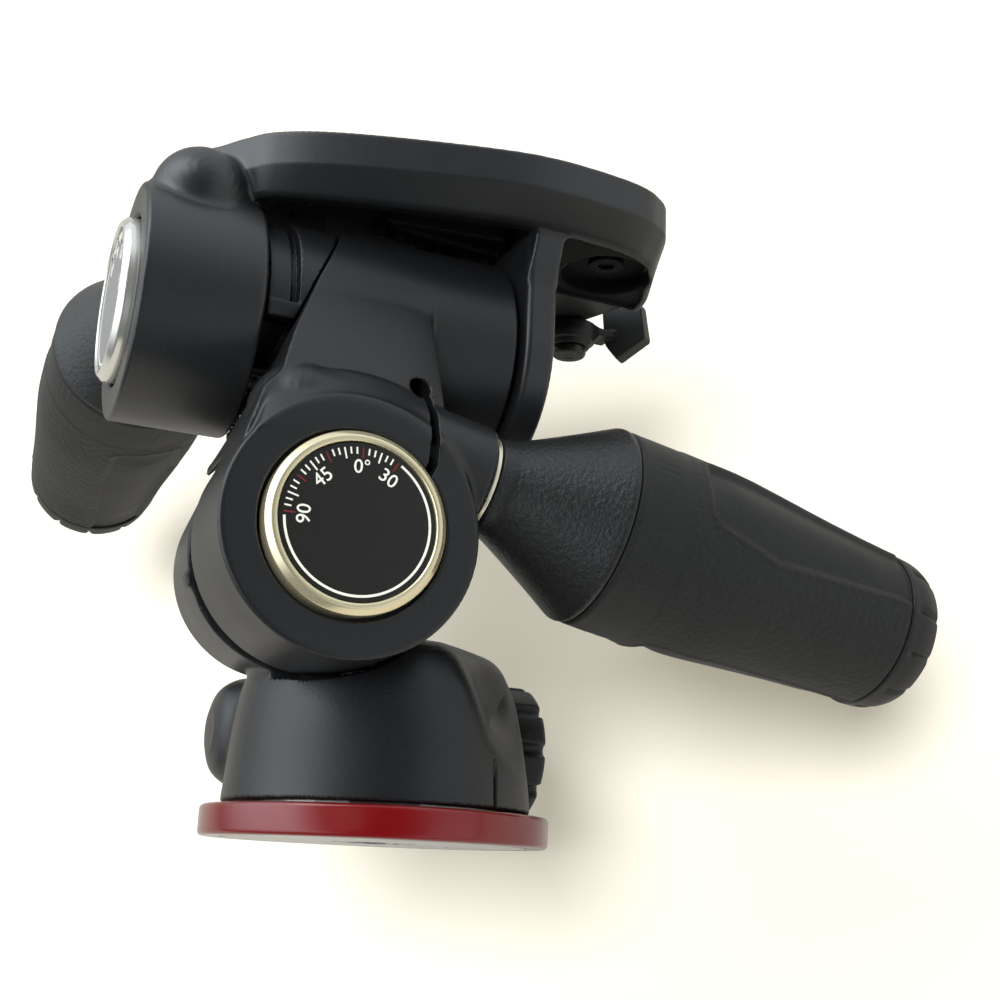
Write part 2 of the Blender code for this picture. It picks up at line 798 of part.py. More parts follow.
def make_stop_ring():
    # A band beside the roll collar, a groove and a sleeve that meets the casting at its seam. The
    # band is cut away below its tab, where the yoke's stop travels.
    outer = roll_drum_back - 2 * gap
    groove = outer - stop_band_width
    sleeve = groove - stop_groove_width
    inner = shaft_radius + gap
    body = piece("roll_stop_ring", turned([
        (inner, -stop_sleeve_back), (stop_sleeve_radius, -stop_sleeve_back),
        (stop_sleeve_radius, sleeve), (stop_groove_radius, sleeve), (stop_groove_radius, groove),
        (stop_band_radius, groove), (stop_band_radius, outer), (inner, outer),
    ]), black_paint, tilt_holder, roll_frame)
    tab = sector(stop_recess_radius, stop_tab_radius, stop_tab_top, stop_tab_bottom, 3)
    fuse(body, stacked([(tab, -seam_x), (tab, outer)]), roll_frame)
    swing = 2 * roll_stop_half_angle + roll_near + roll_away + 2 * stop_margin_angle
    hollow = sector(stop_recess_radius, barrel_radius, stop_tab_bottom, stop_tab_bottom + swing, 12)
    cut(body, stacked([(hollow, -barrel_front - overrun), (hollow, outer + overrun)]), roll_frame)
    cut(body, beside_seam(-gap, seam_reach))
    cut(body, block((barrel_front + gap, -seam_reach, roll_z - seam_reach),
                    (barrel_back, seam_reach, seam_z - barrel_radius)))


def platform_outline(width_share=1.0, inset=0.0):
    length = platform_back - platform_front
    centre = (platform_back + platform_front) / 2
    squeeze = (length - 2 * inset) / length
    near = []
    for along, across in platform_outline_shares:
        x = platform_front + along * length
        y = across * platform_half_width * width_share
        near.append((centre + (x - centre) * squeeze, inset - y))
    near = smooth_line(near, outline_steps)
    far = [(x, -y) for x, y in near[::-1]]
    return near + far


def make_yoke():
    body = piece("roll_yoke", stacked([
        (platform_outline(platform_skirt_in_share), platform_foot),
        (platform_outline(), platform_wall_foot),
        (platform_outline(), platform_top - platform_edge),
        (platform_outline(inset=platform_edge), platform_top),
    ]), black_paint, roll_holder)
    collar_back = -(roll_face - collar_width)
    fuse(body, block((bridge_front, -bridge_half_width, platform_foot - bridge_depth),
                     (collar_back - gap, bridge_half_width, platform_wall_foot)))
    sweep = arc((0.0, roll_z), ear_radius, pi, 2 * pi, small_sides)
    plate = [*sweep, (ear_radius, platform_roof), (-ear_radius, platform_roof)]
    ear_frame = frame_of((ear_inner, 0.0, 0.0), (0, 1, 0), (0, 0, 1), (1, 0, 0))
    fuse(body, stacked([(plate, 0.0), (plate, ear_outer - ear_inner)]), ear_frame)
    make_collar(body, roll_frame, roll_face)
    stop_middle = stop_tab_bottom + stop_margin_angle + roll_away + roll_stop_half_angle
    stop = sector(roll_stop_low_radius, roll_stop_high_radius,
                  stop_middle - roll_stop_half_angle, stop_middle + roll_stop_half_angle, 2)
    fuse(body, stacked([(stop, roll_face - collar_width - stop_band_width),
                        (stop, roll_face - collar_width + overrun)]), roll_frame)
    hollow = platform_outline(platform_skirt_in_share, platform_skirt_wall)
    hollow = [(min(max(x, collar_back + overrun), ear_inner - gap), y) for x, y in hollow]
    cut(body, hull([(x, y, z) for x, y in hollow
                    for z in (platform_foot - overrun, platform_roof)]))
    cut(body, block((ear_outer + gap, block_far_side, platform_foot - overrun),
                    (platform_back + overrun, platform_half_width, platform_roof - gap)))
    bore_collar(body, roll_frame, roll_face)
    cut(body, rod(ear_bore, -ear_outer - overrun, -ear_inner + overrun, small_sides), roll_frame)
    cut(body, block(
        (plate_centre_x - plate_half_length - gap, -plate_half_width - gap, platform_floor),
        (plate_centre_x + plate_half_length + gap, plate_half_width + gap,
         platform_top + overrun)))
    cut(body, rod(counterbore_radius, platform_foot - overrun, platform_foot + counterbore_depth,
                  small_sides), Matrix.Translation((counterbore_x, counterbore_y, 0.0)))
    cut(body, rod(lever_screw_radius + gap, platform_foot - overrun, platform_top + overrun,
                  small_sides), Matrix.Translation((lever_x, lever_y, 0.0)))
    catch_y = catch_seat()
    cut(body, block((catch_x - catch_length / 2 - gap, catch_y - catch_proud,
                     platform_wall_foot + gap),
                    (catch_x + catch_length / 2 + catch_travel + gap,
                     platform_half_width + overrun, platform_wall_foot + gap + catch_height + 2 * gap)))
    for centre, turn in vial_places():
        cut(body, rod(vial_radius + gap, -vial_length / 2 - gap, vial_length / 2 + gap,
                      small_sides), vial_frame(centre, turn))


def catch_seat():
    return platform_half_width - catch_proud


def vial_places():
    height = platform_top - vial_radius / 2
    return (((vial_back_x, 0.0, height), 0.0), ((vial_side_x, vial_side_y, height), pi / 2))


def vial_frame(centre, turn):
    flat = Matrix.Rotation(pi / 2, 4, "X")
    return Matrix.Translation(centre) @ Matrix.Rotation(turn, 4, "Z") @ flat


def make_yoke_parts():
    make_liner("roll_liner", roll_holder, roll_frame, roll_face)
    piece("ear_liner", ring(pivot_shoulder_radius + gap, ear_bore - gap,
                            -ear_outer, -ear_inner, small_sides),
          white_acetal, roll_holder, roll_frame)
    seat = platform_foot + counterbore_depth - gap
    screw = piece("block_screw", rod(block_screw_radius, seat - block_screw_height, seat,
                                     small_sides), black_steel, roll_holder,
                  Matrix.Translation((counterbore_x, counterbore_y, 0.0)))
    cut(screw, rod(block_socket_radius, seat - block_screw_height - overrun,
                   seat - block_screw_height / 2, 6),
        Matrix.Translation((counterbore_x, counterbore_y, 0.0)))
    places = [(x, y, 0.0) for x in (small_screw_front, small_screw_back)
              for y in (-small_screw_side, small_screw_side)]
    for number, spot in enumerate(places, start=1):
        head = rod(small_screw_radius, platform_roof - gap - small_screw_height,
                   platform_roof - gap, 12)
        piece("underside_screw_" + str(number), head, black_steel, roll_holder,
              Matrix.Translation(spot))
    for name, (centre, turn) in zip(("level_vial_back", "level_vial_side"), vial_places()):
        piece(name, rod(vial_radius, -vial_length / 2, vial_length / 2, small_sides),
              vial_green, roll_holder, vial_frame(centre, turn))
    catch_y = catch_seat()
    catch_low = platform_wall_foot + 2 * gap
    piece("safety_catch", block(
        (catch_x - catch_length / 2, catch_y - catch_proud + gap, catch_low),
        (catch_x + catch_length / 2, catch_y + catch_depth, catch_low + catch_height)),
        yellow_brass, catch_holder)


def make_lever():
    top = platform_roof - 3 * gap
    hub = [(x, y) for x, y in arc((0.0, 0.0), lever_hub_radius, 0.0, 2 * pi, small_sides)][:-1]
    lever = piece("clamp_lever", stacked([(hub, lever_bottom), (hub, top)]),
                  black_plastic, lever_holder, Matrix.Translation((lever_x, lever_y, 0.0)))
    arm_end = lever_arm_length + lever_finger_length
    arm_low = lever_bottom + lever_arm_lift
    fuse(lever, block((0.0, -lever_arm_width / 2, arm_low),
                      (arm_end - gap, lever_arm_width / 2, top - gap)),
         Matrix.Translation((lever_x, lever_y, 0.0)))
    fuse(lever, stacked([
        ([(lever_arm_length, -lever_finger_width / 2), (arm_end, -lever_finger_width / 2),
          (arm_end, lever_finger_width / 2), (lever_arm_length, lever_finger_width / 2)], low)
        for low in (arm_low - gap, arm_low + lever_finger_rise)
    ]), Matrix.Translation((lever_x, lever_y, 0.0)))
    place = Matrix.Translation((lever_x, lever_y, 0.0))
    cut(lever, rod(lever_screw_radius + gap, lever_bottom - overrun, top + overrun, small_sides),
        place)
    head = lever_bottom - gap
    piece("lever_pivot_screw", turned([
        (0.0, head - lever_screw_head_height), (lever_screw_head_radius,
                                                head - lever_screw_head_height),
        (lever_screw_head_radius, head), (lever_screw_radius, head),
        (lever_screw_radius, platform_top - overrun), (0.0, platform_top - overrun),
    ], small_sides), bright_steel, roll_holder, place)


def rounded_box_outline(half_length, half_width, corner):
    points = []
    for quarter, (sx, sy) in enumerate(((1, 1), (-1, 1), (-1, -1), (1, -1))):
        centre = (sx * (half_length - corner), sy * (half_width - corner))
        start = quarter * pi / 2
        points += arc(centre, corner, start, start + pi / 2, 4)
    return points


def make_plate():
    low = platform_floor + gap
    high = low + plate_thickness
    place = Matrix.Translation((plate_centre_x, 0.0, 0.0))
    wide = rounded_box_outline(plate_half_length, plate_half_width, plate_corner)
    slim = rounded_box_outline(plate_half_length - plate_lead_in, plate_half_width - plate_lead_in,
                               plate_corner)
    plate = piece("camera_plate", stacked([(wide, low), (slim, high)]), black_paint,
                  plate_holder, place)
    cut(plate, rod(plate_recess_radius, low - overrun, low + plate_recess_depth, small_sides),
        place)
    cut(plate, rod(camera_screw_radius + gap, low, high + overrun, small_sides), place)
    pad_low = high + gap
    pad_outline = rounded_box_outline(plate_half_length - pad_inset, plate_half_width - pad_inset,
                                      plate_corner)
    pad = piece("plate_pad", stacked([(pad_outline, pad_low),
                                      (pad_outline, pad_low + pad_thickness)]),
                black_rubber, plate_holder, place)
    cut(pad, rod(camera_screw_head_radius, pad_low - overrun, pad_low + pad_thickness + overrun,
                 small_sides), place)
    seat = low + plate_recess_depth - gap
    screw = piece("camera_screw", turned([
        (0.0, seat - camera_screw_head_height),
        (camera_screw_head_radius, seat - camera_screw_head_height),
        (camera_screw_head_radius, seat), (camera_screw_radius, seat),
        (camera_screw_radius, high + pad_thickness + camera_screw_proud),
        (0.0, high + pad_thickness + camera_screw_proud),
    ], small_sides), bright_steel, plate_holder, place)
    cut(screw, block(
        (-camera_screw_head_radius - overrun, -coin_slot_width / 2,
         seat - camera_screw_head_height - overrun),
        (camera_screw_head_radius + overrun, coin_slot_width / 2,
         seat - camera_screw_head_height + coin_slot_depth)), place)


def make_handle(name, frame, parent):
    washer_seat = lug_tip + gap
    cone_start = washer_seat + clamp_washer_thickness + gap
    cone_end = cone_start + cone_length
    tube_start = cone_end - cone_socket_depth + gap
    grip_start = cone_end + gap
    grip_end = cone_end + grip_length
    cap_start = grip_end + gap
    spigot = cap_start - cap_spigot_length
    tube_end = spigot - tube_end_room
    bolt_head = tube_start + gap
    bolt_hole = clamp_bolt_radius + gap
    piece(name + "_clamp_bolt", turned([
        (0.0, clamp_bolt_start), (clamp_bolt_radius, clamp_bolt_start),
        (clamp_bolt_radius, bolt_head), (clamp_bolt_head_radius, bolt_head),
        (clamp_bolt_head_radius, bolt_head + clamp_bolt_head_height),
        (0.0, bolt_head + clamp_bolt_head_height),
    ], small_sides), bright_steel, parent, frame)
    piece(name + "_clamp_washer", ring(bolt_hole, clamp_washer_radius, washer_seat,
                                       washer_seat + clamp_washer_thickness, hidden_sides),
          bright_steel, parent, frame)
    socket = tube_radius + gap
    piece(name + "_handle_cone", turned([
        (bolt_hole, cone_start), (cone_small_radius, cone_start),
        (cone_large_radius, cone_end - cone_edge), (cone_large_radius - cone_edge, cone_end),
        (socket, cone_end), (socket, tube_start - gap), (bolt_hole, tube_start - gap),
    ]), black_plastic, parent, frame)
    tube_bore = tube_radius - tube_wall
    piece(name + "_handle_tube", ring(tube_bore, tube_radius, tube_start, tube_end, hidden_sides),
          plain_aluminium, parent, frame)
    guide_bore = tube_radius + gap
    guide_start = tube_end - guide_length
    piece(name + "_tube_guide", ring(guide_bore, guide_radius, guide_start, tube_end,
                                     hidden_sides),
          white_acetal, parent, frame)
    core_bore = guide_radius + gap
    neck_end = grip_start + core_neck_length
    piece(name + "_grip_core", turned([
        (guide_bore, grip_start), (core_front_radius, grip_start), (core_rear_radius, grip_end),
        (core_bore, grip_end), (core_bore, neck_end), (guide_bore, neck_end),
    ], hidden_sides), black_plastic, parent, frame)
    belly = grip_start + grip_belly_place
    piece(name + "_grip_sleeve", turned([
        (core_front_radius + gap, grip_start), (grip_front_radius - grip_edge, grip_start),
        (grip_front_radius, grip_start + grip_edge), (grip_belly_radius, belly),
        (grip_rear_radius, grip_end - grip_edge), (grip_rear_radius - grip_edge, grip_end),
        (core_rear_radius + gap, grip_end),
    ]), black_rubber, parent, frame)
    cap_end = cap_start + cap_length
    piece(name + "_grip_cap", turned([
        (0.0, spigot), (guide_radius, spigot), (guide_radius, cap_start),
        (grip_rear_radius - grip_edge, cap_start), (grip_rear_radius - gap, cap_start + grip_edge),
        (cap_rear_radius, cap_end - cap_round), (cap_rear_radius - cap_round, cap_end),
        (0.0, cap_end),
    ]), black_plastic, parent, frame)


make_base()
make_pan_housing()
make_pan_parts()
make_pan_lock()
make_tilt_body()
make_tilt_parts()
make_yoke()
make_yoke_parts()
make_lever()
make_plate()
make_handle("tilt", tilt_handle_frame, tilt_handle_holder)
make_handle("roll", roll_handle_frame, roll_handle_holder)
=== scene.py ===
from math import cos, pi, radians, sin
import bmesh
import bpy
import numpy as np
from mathutils import Matrix, Vector


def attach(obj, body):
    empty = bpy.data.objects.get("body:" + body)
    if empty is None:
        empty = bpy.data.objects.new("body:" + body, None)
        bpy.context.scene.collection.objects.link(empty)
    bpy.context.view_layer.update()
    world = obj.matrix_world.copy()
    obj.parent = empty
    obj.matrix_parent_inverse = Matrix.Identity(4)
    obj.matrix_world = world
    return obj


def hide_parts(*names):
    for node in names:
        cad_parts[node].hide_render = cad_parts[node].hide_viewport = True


# Looks of the three way pan tilt head. Sizes below are in millimetres and go into metres when a
# mesh is made. The head stands on its base, +Z is up, and the tilt dial looks along -Y.
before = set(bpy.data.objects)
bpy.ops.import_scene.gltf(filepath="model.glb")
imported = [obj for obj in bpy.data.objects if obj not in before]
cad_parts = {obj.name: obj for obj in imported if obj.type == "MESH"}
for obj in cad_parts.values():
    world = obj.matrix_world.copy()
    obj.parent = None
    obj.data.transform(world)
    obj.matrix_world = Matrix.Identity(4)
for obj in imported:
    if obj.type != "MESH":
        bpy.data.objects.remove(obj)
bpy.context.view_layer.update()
mm = 0.001
print("frame loaded")


# Small tools for grids
def axesAt(at, across, up, outward):
    return {"at": np.array(at, float), "turn": np.array((across, up, outward), float)}


def axesOn(base, at, turn):
    # A frame given in another frame: its origin and rows are turned by the base's rows.
    turn = np.array(turn, float)
    return {"at": base["at"] + np.array(at, float) @ base["turn"], "turn": turn @ base["turn"]}


def uprightAt(x, y):
    # The world's own directions at a place in plan.
    return axesAt((x, y, 0), (1, 0, 0), (0, 1, 0), (0, 0, 1))


def turnedStation(station, degrees):
    # The same station with its first axis turned from across towards up.
    turn = radians(degrees)
    return axesOn(station, (0, 0, 0), ((cos(turn), sin(turn), 0), (-sin(turn), cos(turn), 0),
                                       (0, 0, 1)))


def turnedFrame(station, degrees, axes):
    # Another frame turned about a station's outward axis.
    turn = radians(degrees)
    spin = np.array(((cos(turn), sin(turn), 0), (-sin(turn), cos(turn), 0), (0, 0, 1)))
    world = station["turn"].T @ spin @ station["turn"]
    return {"at": station["at"] + (axes["at"] - station["at"]) @ world,
            "turn": axes["turn"] @ world}


tiltX, tiltHeight, rollHeight = -18.1, 46.7, 90
worldAxes = uprightAt(0, 0)
tiltStation = axesAt((tiltX, 0, tiltHeight), (1, 0, 0), (0, 0, 1), (0, -1, 0))
rollStation = axesAt((0, 0, rollHeight), (0, 1, 0), (0, 0, 1), (-1, 0, 0))
barrelAxes = axesAt((0, 0, rollHeight), (0, 1, 0), (0, 0, 1), (1, 0, 0))
lockStation = axesAt((0, 19, 18.8), (0, 1, 0), (0, 0, 1), (1, 0, 0))
tiltFace = 35.2      # how far each collar's face stands out along its station's axis
rollFace = 52.4
collarWidth = 20.8
handleDrop = radians(11.6)


def handleAxes(station, face):
    along = (cos(handleDrop), -sin(handleDrop), 0)
    above = (sin(handleDrop), cos(handleDrop), 0)
    origin = (17.5 * above[0], 17.5 * above[1], face - collarWidth / 2)
    return axesOn(station, origin, (above, (0, 0, 1), along))


tiltHandle = handleAxes(tiltStation, tiltFace)
rollHandle = handleAxes(rollStation, rollFace)


def toWorld(axes, points):
    return axes["at"] + points @ axes["turn"]


def fillMesh(name, points, quads, triangles):
    # Puts whole arrays of corners and faces into one mesh, turned so that its volume is positive.
    parts = [np.asarray(group, np.int64) for group in (quads, triangles) if group is not None]
    volume = 0.0
    for group in parts:
        a, b, c = points[group[:, 0]], points[group[:, 1]], points[group[:, 2]]
        volume += np.einsum("ij,ij->i", a, np.cross(b, c)).sum()
        if group.shape[1] == 4:
            d = points[group[:, 3]]
            volume += np.einsum("ij,ij->i", a, np.cross(c, d)).sum()
    if volume < 0:
        parts = [group[:, ::-1] for group in parts]
    mesh = bpy.data.meshes.new(name)
    mesh.vertices.add(len(points))
    mesh.vertices.foreach_set("co", (np.asarray(points) * mm).astype(np.float32).ravel())
    corners = np.concatenate([group.ravel() for group in parts]).astype(np.int32)
    counts = np.concatenate([np.full(len(group), group.shape[1]) for group in parts])
    starts = np.concatenate([[0], np.cumsum(counts)[:-1]]).astype(np.int32)
    mesh.loops.add(len(corners))
    mesh.loops.foreach_set("vertex_index", corners)
    mesh.polygons.add(len(starts))
    mesh.polygons.foreach_set("loop_start", starts)
    mesh.update(calc_edges=True)
    mesh.validate()
    return mesh


def addPiece(name, mesh, finish, body, replaces=(), sharp=35):
    piece = bpy.data.objects.new(name, mesh)
    bpy.context.scene.collection.objects.link(piece)
    mesh.materials.append(finish)
    mesh.shade_smooth()
    if sharp:
        mesh.set_sharp_from_angle(angle=radians(sharp))
    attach(piece, body)
    if replaces:
        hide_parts(*replaces)
    return piece


def gridFaces(rows, columns, closedRows, start=0):
    # Quads between neighbouring rows, each row a closed ring of columns.
    last = rows if closedRows else rows - 1
    row, column = np.meshgrid(np.arange(last), np.arange(columns), indexing="ij")
    after = (column + 1) % columns
    above = (row + 1) % rows
    return start + np.stack([row * columns + column, row * columns + after,
                             above * columns + after, above * columns + column],
                            axis=-1).reshape(-1, 4)


def turnedMesh(name, axes, profile, sides=160, shape=None):
    # A surface of revolution: height s and radius r of the profile, carried round the axis by
    # x = r cos a, y = r sin a. A shape(s, a, r) may change s and r as whole arrays. A profile
    # that starts and ends on the axis is closed by poles, and any other is closed on itself.
    profile = np.array(profile, float)
    capped = profile[0, 1] < 1e-6
    line = profile[1:-1] if capped else profile
    turns = np.linspace(0, 2 * pi, sides, endpoint=False)
    s = np.repeat(line[:, :1], sides, axis=1)
    r = np.repeat(line[:, 1:], sides, axis=1)
    a = np.repeat(turns[None, :], len(line), axis=0)
    if shape is not None:
        s, r = shape(s, a, r)
    points = np.stack([r * np.cos(a), r * np.sin(a), s], axis=-1).reshape(-1, 3)
    quads = gridFaces(len(line), sides, not capped)
    triangles = None
    if capped:
        poles = np.array([[0, 0, profile[0, 0]], [0, 0, profile[-1, 0]]])
        first = len(points)
        points = np.concatenate([points, poles])
        here = np.arange(sides)
        after = (here + 1) % sides
        end = (len(line) - 1) * sides
        triangles = np.concatenate([
            np.stack([np.full(sides, first), after, here], axis=1),
            np.stack([np.full(sides, first + 1), end + here, end + after], axis=1)])
    return fillMesh(name, toWorld(axes, points), quads, triangles)


def addTurned(name, axes, profile, sides, finish, body, replaces=(), sharp=35,
              shape=None):
    return addPiece(name, turnedMesh(name, axes, profile, sides, shape), finish, body, replaces,
                    sharp)


def eased(corners, closed=False):
    # A line through corners (s, r, radius): each corner with a radius becomes a short curve
    # that leaves and meets its two sides smoothly.
    corners = [(*corner, 0.0)[:3] for corner in corners]
    found = []
    count = len(corners)
    for here, (s, r, ease) in enumerate(corners):
        point = np.array((s, r))
        if not ease or (not closed and here in (0, count - 1)):
            found.append(point)
            continue
        before = np.array(corners[here - 1][:2]) - point
        after = np.array(corners[(here + 1) % count][:2]) - point
        reach = min(ease, 0.48 * np.linalg.norm(before), 0.48 * np.linalg.norm(after))
        start = point + before / np.linalg.norm(before) * reach
        stop = point + after / np.linalg.norm(after) * reach
        for t in np.linspace(0, 1, 6):
            found.append((1 - t) ** 2 * start + 2 * t * (1 - t) * point + t * t * stop)
    return np.array(found)


def finely(line, step):
    # The same line with no stretch longer than the step.
    found = [line[0]]
    for here, after in zip(line[:-1], line[1:]):
        pieces = max(1, int(np.ceil(np.linalg.norm(after - here) / step)))
        for part in range(1, pieces + 1):
            found.append(here + (after - here) * part / pieces)
    return np.array(found)


# Camera, light and floor
cameraSettings = {"place": (-79.46, -235.3, -5.78),
                  "right": (0.9145436, -0.4025927, 0.0391042),
                  "down": (0.1414312, 0.2277037, -0.9634045),
                  "ahead": (0.3789555, 0.8866059, 0.2651842),
                  "lens": 50.107}
right, down, ahead = (Vector(cameraSettings[side]) for side in ("right", "down", "ahead"))
cameraData = bpy.data.cameras.new("camera")
cameraData.lens = cameraSettings["lens"]
cameraData.sensor_width = 36
cameraData.clip_start = 0.01
cameraData.clip_end = 20
camera = bpy.data.objects.new("camera", cameraData)
bpy.context.scene.collection.objects.link(camera)
turned = Matrix((right, -down, -ahead)).transposed().to_4x4()
turned.translation = Vector(cameraSettings["place"]) * mm
camera.matrix_world = turned
bpy.context.scene.camera = camera
bpy.context.scene.view_settings.view_transform = "Standard"

lightSettings = {"softFrom": (-0.578, -0.813, 0.035), "softSize": 0.62, "softWatts": 28.6,
                 "keyFrom": (-0.66, -0.36, 0.66), "keySize": 1.1, "keyWatts": 4.0,
                 "distance": 1.7, "room": 0.12, "above": (0.2, 0.1, 0.97), "aboveLevel": 0.80,
                 "window": (-0.90, -0.26, 0.27), "windowLevel": 2.3,
                 "low": (0.55, -0.72, -0.42), "lowLevel": 0.45,
                 "dark": (-0.42, -0.86, 0.22), "darkShare": 0.90,
                 "matt": 0.52, "gloss": 0.85, "cool": (0.93, 1.0, 1.06)}


def addLamp(name, towards, distance, size, watts):
    data = bpy.data.lights.new(name, "AREA")
    data.shape = "DISK"
    data.size = size
    data.energy = watts
    lamp = bpy.data.objects.new(name, data)
    bpy.context.scene.collection.objects.link(lamp)
    aim = Vector((0.0, 0.0, 0.06))
    towards = Vector(towards).normalized()
    lamp.location = aim + towards * distance
    lamp.rotation_euler = towards.to_track_quat("Z", "Y").to_euler()
    return lamp


# The first lamp stands behind the camera and throws the shadow on the table, unseen in glosses.
for lamp in ("soft", "key"):
    made = addLamp(lamp + "Lamp", lightSettings[lamp + "From"], lightSettings["distance"],
                   lightSettings[lamp + "Size"], lightSettings[lamp + "Watts"])
    made.visible_glossy = lamp == "key"


def nodeOf(tree, kind, **values):
    found = tree.nodes.new(kind)
    for name, value in values.items():
        setattr(found, name, value)
    return found


def rampNode(tree, source, fromLow, fromHigh, toLow, toHigh, kind="LINEAR"):
    # A value carried from one range to another.
    ramp = nodeOf(tree, "ShaderNodeMapRange", interpolation_type=kind)
    for name, value in (("From Min", fromLow), ("From Max", fromHigh), ("To Min", toLow),
                        ("To Max", toHigh)):
        ramp.inputs[name].default_value = value
    tree.links.new(source, ramp.inputs["Value"])
    return ramp.outputs["Result"]


def tintNode(tree, share, first, second):
    # One colour that passes into another with the share.
    tint = nodeOf(tree, "ShaderNodeMix", data_type="RGBA")
    tint.inputs[6].default_value = (*first, 1)
    tint.inputs[7].default_value = (*second, 1)
    tree.links.new(share, tint.inputs[0])
    return tint.outputs[2]


def makeWorld():
    # White behind the object for the camera. Everything else sees a soft room: an even level, a
    # brighter ceiling, a window on the left, some light low on the right, and a dark patch in
    # front. Each is a smooth step on the cosine between the ray and the patch's own direction.
    # The room shows at its gloss share in reflections and lights matt surfaces at its matt share.
    size = lightSettings
    world = bpy.data.worlds.new("studio")
    bpy.context.scene.world = world
    world.use_nodes = True
    tree = world.node_tree
    tree.nodes.clear()
    seen = nodeOf(tree, "ShaderNodeTexCoord")

    def patch(towards, start, stop, low, high):
        side = nodeOf(tree, "ShaderNodeVectorMath", operation="DOT_PRODUCT")
        side.inputs[1].default_value = Vector(towards).normalized()
        tree.links.new(seen.outputs["Generated"], side.inputs[0])
        return rampNode(tree, side.outputs["Value"], start, stop, low, high, "SMOOTHSTEP")

    def both(operation, first, second):
        found = nodeOf(tree, "ShaderNodeMath", operation=operation)
        tree.links.new(first, found.inputs[0])
        tree.links.new(second, found.inputs[1])
        return found.outputs[0]

    ceiling = patch(size["above"], -0.7, 0.95, size["room"], size["room"] + size["aboveLevel"])
    window = patch(size["window"], 0.45, 1.0, 0.0, size["windowLevel"])
    below = patch(size["low"], 0.78, 1.0, 0.0, size["lowLevel"])
    shade = patch(size["dark"], 0.62, 0.95, 1.0, 1.0 - size["darkShare"])
    room = both("MULTIPLY", both("ADD", both("ADD", ceiling, window), below), shade)
    path = nodeOf(tree, "ShaderNodeLightPath")
    share = nodeOf(tree, "ShaderNodeMath", operation="MULTIPLY_ADD")
    share.inputs[1].default_value = size["gloss"] - size["matt"]
    share.inputs[2].default_value = size["matt"]
    tree.links.new(path.outputs["Is Glossy Ray"], share.inputs[0])
    room = both("MULTIPLY", room, share.outputs[0])
    plain = both("MAXIMUM", path.outputs["Is Camera Ray"], path.outputs["Is Transmission Ray"])
    back = nodeOf(tree, "ShaderNodeBackground")
    tree.links.new(tintNode(tree, plain, size["cool"], (1, 1, 1)), back.inputs["Color"])
    tree.links.new(both("MAXIMUM", plain, room), back.inputs["Strength"])
    out = nodeOf(tree, "ShaderNodeOutputWorld")
    tree.links.new(back.outputs[0], out.inputs["Surface"])


floorSettings = {"facing": (-0.649, -0.7185, 0.249), "away": 90.0, "half": 2500.0,
                 "white": (0.88, 0.835, 0.745), "lift": (0.13, 0.10, 0.035),
                 "mirrored": 0.55}


def makeFloor():
    # The pale table that the head leans against, a flat sheet behind it. Seen from its back it
    # lets the view through.
    size = floorSettings
    normal = np.array(size["facing"]) / np.linalg.norm(size["facing"])
    across = np.cross(normal, (0, 0, 1))
    across /= np.linalg.norm(across)
    up = np.cross(across, normal)
    corners = [size["half"] * (i * across + j * up) - normal * size["away"]
               for i, j in ((-1, -1), (1, -1), (1, 1), (-1, 1))]
    mesh = bpy.data.meshes.new("floor")
    mesh.from_pydata([tuple(corner * mm) for corner in corners], [], [(0, 1, 2, 3)])
    mesh.update()
    if mesh.polygons[0].normal.dot(Vector(normal)) < 0:
        mesh.flip_normals()
    floor = bpy.data.objects.new("floor", mesh)
    bpy.context.scene.collection.objects.link(floor)
    finish = bpy.data.materials.new("paleTable")
    finish.use_nodes = True
    tree = finish.node_tree
    tree.nodes.clear()
    matt = nodeOf(tree, "ShaderNodeBsdfDiffuse")
    glow = nodeOf(tree, "ShaderNodeEmission")
    glow.inputs["Color"].default_value = (*size["lift"], 1)
    path = nodeOf(tree, "ShaderNodeLightPath")
    tree.links.new(path.outputs["Is Camera Ray"], glow.inputs["Strength"])
    # reflections see a darker table
    mirrored = [size["mirrored"] * part for part in size["white"]]
    tone = tintNode(tree, path.outputs["Is Glossy Ray"], size["white"], mirrored)
    tree.links.new(tone, matt.inputs["Color"])
    both = nodeOf(tree, "ShaderNodeAddShader")
    tree.links.new(matt.outputs[0], both.inputs[0])
    tree.links.new(glow.outputs[0], both.inputs[1])
    clear = nodeOf(tree, "ShaderNodeBsdfTransparent")
    facing = nodeOf(tree, "ShaderNodeNewGeometry")
    pick = nodeOf(tree, "ShaderNodeMixShader")
    tree.links.new(facing.outputs["Backfacing"], pick.inputs[0])
    tree.links.new(both.outputs[0], pick.inputs[1])
    tree.links.new(clear.outputs[0], pick.inputs[2])
    out = nodeOf(tree, "ShaderNodeOutputMaterial")
    tree.links.new(pick.outputs[0], out.inputs["Surface"])
    mesh.materials.append(finish)


makeWorld()
makeFloor()
print("camera, light and floor ready")


# Finishes
def noiseNode(tree, source, scale, detail, roughness=0.5):
    noise = nodeOf(tree, "ShaderNodeTexNoise")
    for name, value in (("Scale", scale), ("Detail", detail), ("Roughness", roughness)):
        noise.inputs[name].default_value = value
    tree.links.new(source, noise.inputs["Vector"])
    return noise.outputs["Fac"]


def bumpOn(tree, height, millimetres, normal, inverted=False):
    bump = nodeOf(tree, "ShaderNodeBump", invert=inverted)
    bump.inputs["Strength"].default_value = 1.0
    bump.inputs["Distance"].default_value = millimetres * mm
    tree.links.new(height, bump.inputs["Height"])
    if normal is not None:
        tree.links.new(normal, bump.inputs["Normal"])
    return bump.outputs["Normal"]


